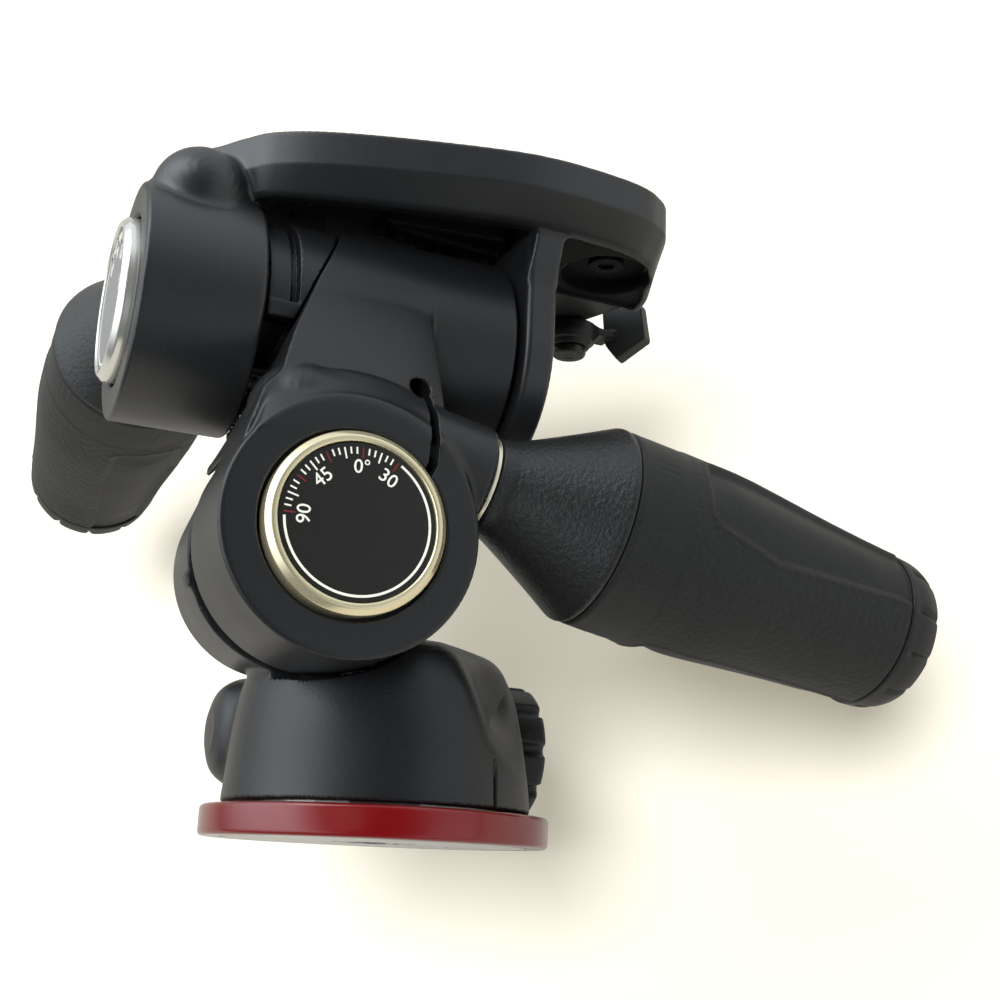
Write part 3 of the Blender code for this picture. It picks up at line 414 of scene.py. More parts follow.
def makeFinish(name, colour, second=None, roughness=0.5, spread=0.06, metallic=0.0,
               patch=40.0, grain=0.0, grainScale=1200.0, swell=0.0, swellScale=120.0,
               cells=0.0, cellScale=900.0, coat=0.0, specular=0.5, bare=False):
    # A painted, moulded or metal surface on Object coordinates: slow noise drifts the colour and
    # the roughness, fine noise and cells give the grain's relief, and a slow noise its swell.
    # With bare, the cells' relief fades where the mesh's own layer grained is below one.
    finish = bpy.data.materials.new(name)
    finish.use_nodes = True
    tree = finish.node_tree
    shader = tree.nodes["Principled BSDF"]
    for part, value in (("Metallic", metallic), ("Coat Weight", coat), ("Coat Roughness", 0.06),
                        ("Specular IOR Level", specular)):
        shader.inputs[part].default_value = value
    source = nodeOf(tree, "ShaderNodeTexCoord").outputs["Object"]
    slow = noiseNode(tree, source, patch, 4)
    second = second or tuple(0.7 * part for part in colour)
    colourOut = tintNode(tree, slow, second, colour)
    rough = rampNode(tree, slow, 0.3, 0.7, roughness - spread, roughness + spread)
    tree.links.new(rough, shader.inputs["Roughness"])
    normal = None
    if swell:
        normal = bumpOn(tree, noiseNode(tree, source, swellScale, 2), swell, normal)
    if cells:
        pebble = nodeOf(tree, "ShaderNodeTexVoronoi", feature="SMOOTH_F1")
        pebble.inputs["Scale"].default_value = cellScale
        pebble.inputs["Smoothness"].default_value = 0.6
        tree.links.new(source, pebble.inputs["Vector"])
        height = pebble.outputs["Distance"]
        if bare:
            layer = nodeOf(tree, "ShaderNodeAttribute", attribute_name="grained")
            masked = nodeOf(tree, "ShaderNodeMath", operation="MULTIPLY")
            tree.links.new(height, masked.inputs[0])
            tree.links.new(layer.outputs["Fac"], masked.inputs[1])
            height = masked.outputs[0]
        normal = bumpOn(tree, height, cells, normal, inverted=True)
    if grain:
        fine = noiseNode(tree, source, grainScale, 3, 0.65)
        normal = bumpOn(tree, fine, grain, normal)
        speckled = nodeOf(tree, "ShaderNodeMix", data_type="RGBA", blend_type="MULTIPLY")
        speckled.inputs[0].default_value = 1.0
        tree.links.new(colourOut, speckled.inputs[6])
        tree.links.new(rampNode(tree, fine, 0.35, 0.75, 0.75, 1.35), speckled.inputs[7])
        colourOut = speckled.outputs[2]
    tree.links.new(colourOut, shader.inputs["Base Color"])
    if normal is not None:
        tree.links.new(normal, shader.inputs["Normal"])
    return finish


castBlack = makeFinish("castBlack", (0.0095, 0.0100, 0.0108), (0.0075, 0.0080, 0.0088),
                       roughness=0.38, spread=0.04, specular=0.66, grain=0.03, grainScale=2600,
                       patch=55)
# A brighter, glossier copy of castBlack for the yoke: painted sheen for the light that falls on its
# upper parts.
litCastBlack = makeFinish("litCastBlack", (0.0105, 0.0112, 0.0122), (0.0085, 0.009, 0.010),
                        roughness=0.37, spread=0.04, specular=0.92, grain=0.022, grainScale=2600,
                        patch=55)
# A darker, rough and barely glossy black: painted shade in the yoke's hollow and recess, also worn
# by the block screw that sits in the recess.
recessShadeBlack = makeFinish("recessShadeBlack", (0.0085, 0.0090, 0.0100), (0.006, 0.0065, 0.0075),
                      roughness=0.66, spread=0.05, grain=0.03, grainScale=2200, specular=0.16)
crimsonLacquer = makeFinish("crimsonLacquer", (0.160, 0.0035, 0.0044), (0.156, 0.0033, 0.0042),
                            roughness=0.20, spread=0.01, patch=12, coat=0.6)
turnedSilver = makeFinish("turnedSilver", (0.74, 0.73, 0.70), (0.66, 0.65, 0.62), roughness=0.30,
                          metallic=1.0)
zincSteel = makeFinish("zincSteel", (0.62, 0.61, 0.57), (0.5, 0.49, 0.45), roughness=0.30,
                       metallic=1.0)
washerCream = makeFinish("washerCream", (0.95, 0.90, 0.74), (0.90, 0.85, 0.68), roughness=0.25,
                         metallic=0.7)
blackScrew = makeFinish("blackScrew", (0.022, 0.023, 0.024), roughness=0.36, metallic=0.3)
greenScrew = makeFinish("greenScrew", (0.060, 0.066, 0.056), (0.045, 0.05, 0.042),
                        roughness=0.34, metallic=0.7)
champagne = makeFinish("champagne", (1.0, 0.90, 0.60), (0.97, 0.86, 0.56), roughness=0.17,
                       spread=0.02, patch=12, metallic=0.80)
paleNickel = makeFinish("paleNickel", (0.95, 0.94, 0.87), (0.90, 0.89, 0.82), roughness=0.15,
                        spread=0.02, patch=12, metallic=0.85)
dialInk = makeFinish("dialInk", (0.0125, 0.0122, 0.0100), roughness=0.40, grain=0.006,
                     grainScale=3000)
greyDial = makeFinish("greyDial", (0.27, 0.27, 0.28), (0.24, 0.24, 0.25), roughness=0.48,
                      specular=0.3)
markWhite = makeFinish("markWhite", (0.86, 0.86, 0.78), (0.80, 0.80, 0.72), roughness=0.5)
markRed = makeFinish("markRed", (0.16, 0.020, 0.022), (0.13, 0.016, 0.018), roughness=0.5)
arrowInk = makeFinish("arrowInk", (0.0012, 0.0012, 0.0013), roughness=0.6, specular=0.2)
coneGrain = makeFinish("coneGrain", (0.015, 0.0155, 0.0155), (0.012, 0.0125, 0.0125),
                       roughness=0.36, grain=0.20, grainScale=1250, specular=0.6)
gripLeather = makeFinish("gripLeather", (0.0165, 0.0170, 0.0172), (0.0135, 0.0139, 0.0142),
                         roughness=0.50, specular=0.36, cells=0.13, swell=0.05, swellScale=420,
                         grain=0.02, grainScale=2400, bare=True)
mouldedBlack = makeFinish("mouldedBlack", (0.018, 0.018, 0.0178), (0.014, 0.014, 0.0138),
                          roughness=0.46, specular=0.42, grain=0.02, grainScale=1800)
padRubber = makeFinish("padRubber", (0.018, 0.018, 0.018), roughness=0.8, cells=0.1,
                       cellScale=700)
acetal = makeFinish("acetal", (0.70, 0.69, 0.64), (0.64, 0.63, 0.57), roughness=0.42, grain=0.01)
yellowBrass = makeFinish("yellowBrass", (0.62, 0.45, 0.18), (0.5, 0.35, 0.13), roughness=0.3,
                         metallic=1.0)
vialGlass = makeFinish("vialGlass", (0.36, 0.62, 0.07), (0.30, 0.55, 0.05), roughness=0.08,
                       coat=0.8)
print("finishes ready")


def dress(finish, nodes):
    # The solids that show as they are, each with one finish.
    for node in nodes:
        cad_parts[node].data.materials.clear()
        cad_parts[node].data.materials.append(finish)


dress(turnedSilver, ("base_underplate", "tilt_shaft", "roll_shaft"))
dress(zincSteel, ("thread_bush", "pan_spindle", "pan_lock_bolt", "tilt_retainer",
                  "tilt_retainer_screw", "tilt_clamp_bolt", "roll_clamp_bolt",
                  "roll_pivot_screw"))
dress(acetal, ("pan_washer", "pan_liner", "tilt_tube_guide", "roll_tube_guide"))
# the liners among these are black as painted shade: the gap beside the stop ring shows only shade,
# not their cream
dress(mouldedBlack, ("tilt_liner", "roll_liner", "ear_liner", "tilt_grip_core",
                     "roll_grip_core"))


# Base
baseDisc = {"radius": 30.0, "thickness": 5.2, "edge": 0.9, "recess": 26.4, "step": 1.0,
            "bore": 7.3}


def makeBaseDisc():
    # A lacquered disc with rounded rims, hollow below for its silver ring.
    size = baseDisc
    line = eased([(size["step"], size["bore"]), (size["step"], size["recess"], 0.2),
                  (0.0, size["recess"], 0.15), (0.0, size["radius"], size["edge"]),
                  (size["thickness"], size["radius"], size["edge"]),
                  (size["thickness"], size["bore"])], closed=True)
    addTurned("baseDisc", worldAxes, line, 256, crimsonLacquer, "base", ["base_disc"])


makeBaseDisc()
print("base made")


# Castings as fields
# A casting is a field d(x, y, z): below zero inside, above zero outside, near the distance in
# millimetres. Parts join by a smooth least value, and cuts take the smooth greatest.
def inAxes(p, axes):
    moved = [p[i] - np.float32(axes["at"][i]) for i in range(3)]
    rows = axes["turn"].astype(np.float32)
    return [moved[0] * rows[i, 0] + moved[1] * rows[i, 1] + moved[2] * rows[i, 2]
            for i in range(3)]


def joined(a, b, soft):
    if soft <= 0:
        return np.minimum(a, b)
    near = np.maximum(soft - np.abs(a - b), 0) / soft
    return np.minimum(a, b) - near * near * (soft / 4)


def without(a, b, soft=0.0):
    return -joined(-a, b, soft)


def kept(a, b, soft=0.0):
    return -joined(-a, -b, soft)


def rounded2(u, v, edge):
    # Distance to a corner whose two sides are u = 0 and v = 0, rounded by the edge.
    u = u + edge
    v = v + edge
    return (np.minimum(np.maximum(u, v), 0) +
            np.sqrt(np.maximum(u, 0) ** 2 + np.maximum(v, 0) ** 2) - edge)


def rodField(p, axes, radius, low, high, edge=0.3):
    x, y, z = inAxes(p, axes)
    return rounded2(np.sqrt(x * x + y * y) - radius, np.abs(z - (low + high) / 2)
                    - (high - low) / 2, edge)


def boxField(p, axes, low, high, edge=0.3):
    local = inAxes(p, axes)
    sides = [np.abs(local[i] - (low[i] + high[i]) / 2) - (high[i] - low[i]) / 2 + edge
             for i in range(3)]
    outside = np.sqrt(sum(np.maximum(side, 0) ** 2 for side in sides))
    return outside + np.minimum(np.maximum(np.maximum(sides[0], sides[1]), sides[2]), 0) - edge


def turnedField(p, axes, profile):
    # Distance to a solid of revolution whose profile runs from the axis to the axis.
    x, y, s = inAxes(p, axes)
    r = np.sqrt(x * x + y * y)
    line = np.array(profile, float)
    line = np.concatenate([[(line[0, 0], -60)], line, [(line[-1, 0], -60)]]).astype(np.float32)
    best = np.full(s.shape, 1e9, np.float32)
    sign = np.ones(s.shape, np.float32)
    for here in range(len(line)):
        a = line[here]
        b = line[here - 1]
        across = b - a
        toS = s - a[0]
        toR = r - a[1]
        share = np.clip((toS * across[0] + toR * across[1]) / max(float(across @ across), 1e-9),
                        0, 1)
        gapS = toS - across[0] * share
        gapR = toR - across[1] * share
        best = np.minimum(best, gapS * gapS + gapR * gapR)
        first = r >= a[1]
        second = r < b[1]
        third = across[0] * toR > across[1] * toS
        flips = (first & second & third) | (~first & ~second & ~third)
        sign = np.where(flips, -sign, sign)
    return sign * np.sqrt(best)


def bored(d, p, bores):
    # Takes out rods, each given by its frame, radius, two ends, edge and softness.
    for axes, radius, low, high, edge, soft in bores:
        d = without(d, rodField(p, axes, radius, low, high, edge), soft)
    return d


def sectorField(turn, r, first, last):
    # Distance along the arc to the sector between two angles in degrees.
    away = np.abs((turn - (first + last) / 2 + 180) % 360 - 180)
    return (away - (last - first) / 2) * radians(1) * np.maximum(r, 1)


def planesOfHull(points):
    # The flat sides of the smallest convex body round a set of points, as normals and offsets.
    shape = bmesh.new()
    for point in points:
        shape.verts.new(tuple(float(value) for value in point))
    bmesh.ops.convex_hull(shape, input=shape.verts)
    shape.normal_update()
    middle = np.mean(points, axis=0)
    planes = {}
    for side in shape.faces:
        if side.calc_area() < 1e-3:
            continue
        normal = np.array(side.normal)
        offset = float(normal @ np.array(side.verts[0].co))
        if normal @ middle > offset:
            normal, offset = -normal, -offset
        planes[tuple(np.round([*normal, offset], 2))] = (*normal, offset)
    shape.free()
    return np.array(list(planes.values()), np.float32)


def hullField(p, planes, soft=0.25):
    # A smooth greatest over all sides: soft times the log of the sum of exponentials.
    top = None
    levels = []
    for nx, ny, nz, offset in planes:
        levels.append(p[0] * nx + p[1] * ny + p[2] * nz - offset)
        top = levels[-1] if top is None else np.maximum(top, levels[-1])
    total = sum(np.exp(np.maximum((level - top) / soft, -20)) for level in levels)
    return top + soft * (np.log(total) - 0.9)


def castMesh(name, field, low, high, step):
    # Surface nets: one corner for each lattice cell that the surface passes through, at the mean
    # of its edge crossings, then moved onto the field's zero level along its gradient. A coarse
    # lattice finds the cells near the surface, and only there the field is taken in full.
    low = np.array(low, float)
    counts = np.ceil((np.array(high) - low) / step).astype(int) + 1
    coarse = 5
    rough = (counts + coarse - 1) // coarse
    grid = np.stack(np.meshgrid(*[low[i] + (np.arange(rough[i]) + 0.5) * coarse * step
                                  for i in range(3)], indexing="ij")).astype(np.float32)
    level = field([grid[i].ravel() for i in range(3)]).reshape(tuple(rough))
    reach = coarse * step * 0.87 * 1.35 + step
    full = level
    for side in range(3):
        full = np.repeat(full, coarse, axis=side)
    full = full[:counts[0], :counts[1], :counts[2]].copy()
    wanted = np.abs(full) < reach
    index = np.nonzero(wanted)
    points = [(low[i] + index[i] * step).astype(np.float32) for i in range(3)]
    full[index] = evaluated(field, points)
    inside = full < 0
    cells = counts - 1

    def cellBeside(at, side, da, db):
        # The cell on one side of each lattice edge, and whether it is inside the lattice.
        others = [axis for axis in range(3) if axis != side]
        cell = list(at)
        cell[others[0]] = cell[others[0]] - da
        cell[others[1]] = cell[others[1]] - db
        good = np.ones(len(at[0]), bool)
        for axis in others:
            good &= (cell[axis] >= 0) & (cell[axis] < cells[axis])
        return cell, good

    # lattice edges with a change of sign, along each axis
    sums = np.zeros((*cells, 3), np.float32)
    hits = np.zeros(tuple(cells), np.int32)
    edges = []
    for side in range(3):
        a = [slice(None)] * 3
        b = [slice(None)] * 3
        a[side] = slice(0, -1)
        b[side] = slice(1, None)
        change = inside[tuple(a)] != inside[tuple(b)]
        at = np.nonzero(change)
        va = full[tuple(a)][at]
        vb = full[tuple(b)][at]
        share = va / (va - vb)
        spot = np.stack(at, axis=1).astype(np.float32)
        spot[:, side] += share
        edges.append((at, inside[tuple(a)][at]))
        for da, db in ((0, 0), (0, 1), (1, 0), (1, 1)):
            cell, good = cellBeside(at, side, da, db)
            where = tuple(part[good] for part in cell)
            np.add.at(sums, where, spot[good])
            np.add.at(hits, where, 1)
    used = hits > 0
    number = np.full(tuple(cells), -1, np.int64)
    number[used] = np.arange(int(used.sum()))
    corner = low + sums[used] / hits[used][:, None] * step
    quads = []
    for side in range(3):
        at, solid = edges[side]
        ring = [cellBeside(at, side, da, db) for da, db in ((1, 1), (0, 1), (0, 0), (1, 0))]
        good = np.all([fits for cell, fits in ring], axis=0)
        face = np.stack([number[tuple(part[good] for part in cell)] for cell, fits in ring],
                        axis=1)
        flip = solid[good] if side != 1 else ~solid[good]
        face = np.where(flip[:, None], face, face[:, ::-1])
        quads.append(face)
    quads = np.concatenate(quads)
    corner = corner.astype(np.float32)
    for attempt in range(4):
        value, slope = slopeOf(field, corner, 0.06)
        size = np.maximum((slope ** 2).sum(axis=1, keepdims=True), 0.25)
        corner = corner - np.clip(value[:, None], -0.35 * step, 0.35 * step) * slope / size
    slope = slopeOf(field, corner, 0.10)[1]
    mesh = fillMesh(name, corner.astype(float), quads, None)
    slope /= np.maximum(np.linalg.norm(slope, axis=1, keepdims=True), 1e-6)
    if len(mesh.vertices) == len(slope):
        mesh.shade_smooth()
        mesh.normals_split_custom_set_from_vertices([tuple(row) for row in slope.tolist()])
    print(name, len(mesh.polygons) * 2, "triangles")
    return mesh


def addCasting(name, field, low, high, step, finish, body, replaces):
    return addPiece(name, castMesh(name, field, low, high, step), finish, body, replaces,
                    sharp=None)


def evaluated(field, points, most=400000):
    # The field in blocks, so that memory stays small.
    found = []
    for start in range(0, len(points[0]), most):
        found.append(field([part[start:start + most] for part in points]))
    return np.concatenate(found)


def slopeOf(field, corner, reach):
    # The field and its slope by differences on both sides.
    parts = [corner[:, i].copy() for i in range(3)]
    value = evaluated(field, parts)
    slope = np.zeros_like(corner)
    for side in range(3):
        more = list(parts)
        less = list(parts)
        more[side] = parts[side] + np.float32(reach)
        less[side] = parts[side] - np.float32(reach)
        slope[:, side] = (evaluated(field, more) - evaluated(field, less)) / (2 * reach)
    return value, slope


# The split collars
collar = {"radius": 21.1, "edge": 0.9, "bore": 16.4, "lip": 15.2, "lipDepth": 2.0, "dome": 8.8,
          "domeStart": -11.0, "lug": 9.5, "lugFull": 6.0, "tip": 20.8, "bolt": 3.3,
          "boltStart": -8.3, "slotWidth": 0.76, "slotDepth": 21.6, "eye": 2.0, "soft": 2.0}
slotLine = [(11.0, 8.5), (12.4, 11.5), (12.7, 17.4), (13.1, 21.0), (13.2, 24.0), (12.8, 25.8),
            (11.8, 26.5)]


def collarField(p, station, face):
    size = collar
    back = face - collarWidth
    drum = rodField(p, station, size["radius"], back, face, size["edge"])
    lug = turnedField(p, handleAxes(station, face), eased([
        (size["domeStart"] - size["dome"], 0),
        *[(size["domeStart"] - size["dome"] * cos(t), size["dome"] * sin(t))
          for t in np.linspace(0.12, pi / 2, 9)],
        (size["lugFull"], size["lug"]), (size["tip"], size["lug"], 0.9), (size["tip"], 0)]))
    # the lug joins softly behind the face and is flush with it
    return kept(joined(drum, lug, size["soft"]), inAxes(p, station)[2] - face, 0.6)


def collarBores(p, d, station, face):
    # The bore with its lip, the slot that ends in a round eye, and the hole of the clamp bolt.
    size = collar
    seat = face - size["lipDepth"]
    d = bored(d, p, [(station, size["bore"], face - collarWidth - 3, seat, 0.05, 0.3),
                     (station, size["lip"], seat - 1, face + 3, 0.05, 0.5)])
    x, y, z = inAxes(p, station)
    slit = None
    for (ax, ay), (bx, by) in zip(slotLine[:-1], slotLine[1:]):
        share = np.clip(((x - ax) * (bx - ax) + (y - ay) * (by - ay)) /
                        ((bx - ax) ** 2 + (by - ay) ** 2), 0, 1)
        reach = np.sqrt((x - ax - share * (bx - ax)) ** 2 + (y - ay - share * (by - ay)) ** 2)
        slit = reach if slit is None else np.minimum(slit, reach)
    eye = np.sqrt((x - slotLine[-1][0]) ** 2 + (y - slotLine[-1][1]) ** 2) - size["eye"]
    deep = face - size["slotDepth"] - z
    d = without(d, np.maximum(np.minimum(slit - size["slotWidth"], eye), deep), 0.25)
    return bored(d, p, [(handleAxes(station, face), size["bolt"], size["boltStart"], 30, 0.1, 0.3)])


# Pan housing
housing = {"profile": [(5.8, 0), (5.8, 26.7, 0.5), (20.0, 25.6, 6.0), (27.2, 24.2, 3.5),
                       (32.6, 20.6, 4.0), (36.0, 0.0)],
           "hub": [(-13.0, 0), (-13.0, 18.6, 1.5), (13.8, 20.8, 0.8), (13.8, 0)],
           "boss": [(-26.3, 0), (-26.2, 4.0), (-25.1, 7.6, 2.0), (-21.5, 10.0, 2.5),
                    (24.0, 10.0, 0.7), (24.0, 0)],
           "scoop": [(20.8, 0), (20.8, 9.5), (42.2, 18.8), (65.2, 19.1), (102, 16), (102, 0)],
           "backward": -30, "bores": [(worldAxes, 22.3, 0, 9.2, 0.1, 0.3),
                                      (worldAxes, 16.4, 0, 27.8, 0.1, 0.3),
                                      (tiltStation, 9.3, -20, 20, 0.1, 0.3),
                                      (tiltStation, 12.3, -20, -8.0, 0.1, 0.5),
                                      (lockStation, 2.7, -20.3, 30, 0.1, 0.3)],
           "ringFloor": 18.2, "ringRear": 9.4, "ringFrom": 69, "ringTo": 195,
           "collarRoom": 21.7, "hubFront": 13.8, "tailTurns": [186, 196, 225, 270, 288, 292],
           "tailWidths": [4.4, 5.0, 6.0, 4.4, 1.6, 0.0], "bumpTurn": 197.5,
           "bump": ((19.5, -1.3, 5.5), (21.0, 1.3, 9.0)), "slitTurn": -62, "slitHalf": 0.3,
           "slitTop": 13.6, "slitFloor": 24.6}


def housingField(p):
    size = housing
    d = turnedField(p, worldAxes, eased(size["profile"]))
    d = joined(d, turnedField(p, tiltStation, eased(size["hub"])), 1.6)
    d = joined(d, turnedField(p, lockStation, eased(size["boss"])), 2.5)
    # the room that the handle needs at its backward limit
    backward = turnedFrame(tiltStation, size["backward"], tiltHandle)
    d = without(d, turnedField(p, backward, size["scoop"]), 4.0)
    d = bored(d, p, size["bores"])
    # the ring of the stops, open from one side of its rib round to the other
    x, y, z = inAxes(p, tiltStation)
    r = np.sqrt(x * x + y * y)
    turn = np.degrees(np.arctan2(y, x))
    swing = sectorField(turn, r, size["ringFrom"], size["ringTo"])
    ring = np.maximum(np.maximum(size["ringFloor"] - r, size["ringRear"] - z), swing)
    d = without(d, ring, 0.3)
    # and its narrowing tail below, with a small bump on the rim where it starts
    width = np.interp(turn % 360, size["tailTurns"], size["tailWidths"]).astype(np.float32)
    tail = np.maximum(np.maximum(size["ringFloor"] - r, r - size["collarRoom"]),
                      size["hubFront"] - width - z)
    d = without(d, np.maximum(tail, 0.05 - width), 0.3)
    bump = boxField(p, turnedStation(tiltStation, size["bumpTurn"]), *size["bump"], 0.5)
    d = joined(d, bump, 1.0)
    d = bored(d, p, [(tiltStation, size["collarRoom"], size["hubFront"] + 0.3, 40, 0.1, 0.4)])
    # the parting slit of the mould low at the front
    side = radians(size["slitTurn"])
    across = p[1] * cos(side) - p[0] * sin(side)
    out = p[0] * cos(side) + p[1] * sin(side)
    slit = np.maximum(np.maximum(np.abs(across) - size["slitHalf"], p[2] - size["slitTop"]),
                      size["slitFloor"] - out)
    return without(d, slit, 0.3)


addCasting("panHousing", housingField, (-41, -33, 4), (29, 32, 69), 0.55, castBlack, "pan",
           ["pan_housing"])
print("housing made")


# Tilt body
neck = {"near": -33.0, "far": -13.4, "reach": 20.3, "leftX": -38.5, "rightX": -2.0,
        "leftHeight": 65.0, "foot": 19.7, "barrel": 20.0, "barrelFront": -34.0,
        "barrelBack": 15.0, "hubRoom": 21.4, "hubFront": 14.1, "ribFrom": 100, "ribTo": 104,
        "ribFloor": 18.5, "ribRear": 10.0,
        "bevel": [(-35.1, -24.0, 20.9, 46, 141), (-30.2, -24.0, 26.9, 60, 119)],
        "bores": [(barrelAxes, 9.3, -60, 60, 0.1, 0.3), (rollStation, 27.8, 31.3, 60, 0.3, 0.5),
                  (rollStation, 19.7, 25.0, 31.6, 0.1, 0.3)]}
seam = {"step": 0.25, "calm": 9, "heights": (40.0, 56.0, 60.2, 68.1, 71.5, 76.4, 81.3, 84.7,
                                             93.8, 102.4, 116.0),
        "places": (-37.2, -36.6, -35.5, -33.1, -30.2, -28.9, -27.4, -26.0, -22.4, -18.6, -12.6)}


def arcPoints(reach, y, start, stop, count):
    # Points on an arc about the tilt axis.
    return [(tiltX + reach * cos(t), y, tiltHeight + reach * sin(t))
            for t in np.radians(np.linspace(start, stop, count))]


def neckPlanes():
    # The neck between the tilt collar's arc and the underside of the roll joint's barrel.
    size = neck
    points = []
    for y in (size["near"], size["far"]):
        points += arcPoints(size["reach"], y, 35, 182, 26)
    for x in (size["leftX"], size["rightX"]):
        points += [(x, size["foot"] * cos(t), rollHeight + size["foot"] * sin(t))
                   for t in np.radians(np.linspace(170, 285, 22))]
    points += [(size["leftX"], y, size["leftHeight"]) for y in (size["near"] + 0.8, size["far"])]
    return planesOfHull(points)


def bevelPlanes():
    # The bevel from the collar's rim up to the neck: two arcs about the dial's axis, and the same
    # arcs again farther in.
    points = []
    for y, inside, reach, start, stop in neck["bevel"]:
        for depth in (y, inside):
            points += arcPoints(reach, depth, start, stop, 14)
    return planesOfHull(points)


def calmed(values, window):
    # The same values run together over a bell-shaped window.
    kernel = np.hanning(window)
    return np.convolve(np.pad(values, window // 2, "edge"), kernel / kernel.sum(), "valid")


seamHeights = np.arange(seam["heights"][0], seam["heights"][-1], seam["step"])
seamPlaces = calmed(np.interp(seamHeights, seam["heights"], seam["places"]), seam["calm"])
seamSlopes = np.gradient(seamPlaces, seamHeights)
neckSides = neckPlanes()
bevelSides = bevelPlanes()


def tiltField(p):
    size = neck
    d = rodField(p, barrelAxes, size["barrel"], size["barrelFront"], size["barrelBack"], 0.8)
    d = joined(d, hullField(p, neckSides), 1.0)
    d = joined(d, hullField(p, bevelSides), 0.5)
    d = kept(d, -besideSeam(p), 0.3)
    d = joined(d, collarField(p, tiltStation, tiltFace), 0.5)
    x, y, z = inAxes(p, tiltStation)
    r = np.sqrt(x * x + y * y)
    # room for the housing's hub, all but the rib that meets its stops
    turn = np.degrees(np.arctan2(y, x))
    rib = np.maximum(sectorField(turn, r, size["ribFrom"], size["ribTo"]), size["ribFloor"] - r)
    rib = np.maximum(rib, size["ribRear"] - z)
    hub = without(np.maximum(r - size["hubRoom"], z - size["hubFront"]), rib)
    d = without(d, hub, 0.9)
    return bored(collarBores(p, d, tiltStation, tiltFace), p, size["bores"])


def besideSeam(p):
    # Distance behind the leaning, slightly bent sheet where the casting meets the stop ring.
    place = np.interp(p[2], seamHeights, seamPlaces).astype(np.float32)
    slope = np.interp(p[2], seamHeights, seamSlopes).astype(np.float32)
    return (p[0] - place) / np.sqrt(1 + slope ** 2)


addCasting("tiltBody", tiltField, (-43, -37, 24), (17, 22, 112), 0.5, castBlack, "tilt",
           ["tilt_body"])
print("tilt body made")


# Roll yoke
platform = {"front": -43.8, "back": 50.8, "half": 31.2, "foot": 109.5, "wall": 114.0,
            "top": 120.7, "share": 0.80}
outlineAlong = np.array((0, .039, .081, .134, .252, .485, .639, .822, .884, .922, .968, 1.0))
outlineAcross = np.array((.10, .200, .375, .545, .715, .920, 1.0, .955, .872, .753, .385, .10))


def smoothTable():
    # The outline's half width along its length, a cubic curve through its given points.
    points = np.stack([outlineAlong, outlineAcross], axis=1)
    points = np.concatenate([[2 * points[0] - points[1]], points, [2 * points[-1] - points[-2]]])
    found = []
    for here in range(1, len(points) - 2):
        a, b, c, d = points[here - 1:here + 3]
        t = np.linspace(0, 1, 40, endpoint=False)[:, None]
        found.append(0.5 * (2 * b + (c - a) * t + (2 * a - 5 * b + 4 * c - d) * t ** 2
                            + (3 * b - a - 3 * c + d) * t ** 3))
    found = np.concatenate(found + [points[-2:-1]])
    found = found[np.argsort(found[:, 0])]
    # smoothed once more along its long sides, and not at its ends
    along = np.linspace(0, 1, 500)
    wide = np.interp(along, found[:, 0], found[:, 1])
    share = np.interp(along, (0.10, 0.24, 0.84, 0.93), (0, 1, 1, 0))
    return along, wide + (calmed(wide, 81) - wide) * share


tableAlong, tableAcross = smoothTable()
tableSlope = np.gradient(tableAcross, tableAlong)


def platformSide(p, share):
    # Sideways distance from the outline, scaled by the steepness of its edge.
    size = platform
    length = size["back"] - size["front"]
    along = (p[0] - size["front"]) / length
    wide = np.interp(along, tableAlong, tableAcross).astype(np.float32) * size["half"] * share
    slope = np.interp(along, tableAlong, tableSlope).astype(np.float32) * size["half"] / length
    side = (np.abs(p[1]) - wide) / np.sqrt(1 + (slope * share) ** 2)
    ends = np.maximum(size["front"] - p[0], p[0] - size["back"])
    return kept(side, ends, 1.5)


def platformField(p):
    # The deck's wall leans out from its foot and then stands upright.
    size = platform
    rise = np.clip((p[2] - size["foot"]) / (size["wall"] - size["foot"]), 0, 1)
    side = platformSide(p, size["share"] + (1 - size["share"]) * rise)
    return rounded2(side, np.abs(p[2] - (size["foot"] + size["top"]) / 2)
                    - (size["top"] - size["foot"]) / 2, 0.8)


vialPlaces = {"Back": ((45.8, 0, 119.7), (1, 0, 0)), "Side": ((12.0, -26.5, 119.7), (0, 1, 0))}
yoke = {"bridge": ((-40.5, -8, 97), (-31.9, 8, 116)), "ear": 21.0, "earFront": 16.2,
        "earBack": 22.0, "earTop": 113, "flare": ((20.2, 101.0), (20.2, 112.0), (24.2, 109.8),
                                                  (24.2, 112.0)),
        "hollowFront": -30.6, "hollowBack": 15.9, "hollowWall": 3.0, "hollowTop": 112.5,
        "stopTurn": 229, "stop": ((13.1, -0.75, 27.7), (17.4, 0.75, 32)),
        "recessFront": 22.6, "recessWall": 1.3, "recessSide": 0.6, "recessTop": 110.7,
        # cuts as opposite corners, edge and softness
        "leverRoom": ((22.3, 1.0, 100), (60, 40, 112.2), 0.6, 0.5),
        "plateSeat": ((-12.5, -21.3, 114.5), (40.5, 21.3, 140), 0.4, 0.5),
        "catchRoom": ((18.7, 29.0, 114.3), (29.3, 40, 117.9), 0.3, 0.4),
        "bores": [(rollStation, 8.3, -30, -10, 0.1, 0.4),
                  (uprightAt(37.6, -9.6), 8.8, 100, 113.6, 0.3, 0.4),
                  (uprightAt(44.5, 20), 2.2, 100, 140, 0.1, 0.3)]}
yoke["bores"] += [(axesAt(at, across, (0, 0, 1), (across[1], across[0], 0)), 2.3, -6.3, 6.3, 0.1,
                   0.4) for at, across in vialPlaces.values()]
earFlare = planesOfHull([(x, side * y, z) for x in (16.4, 21.8) for side in (-1, 1)
                         for y, z in yoke["flare"]])


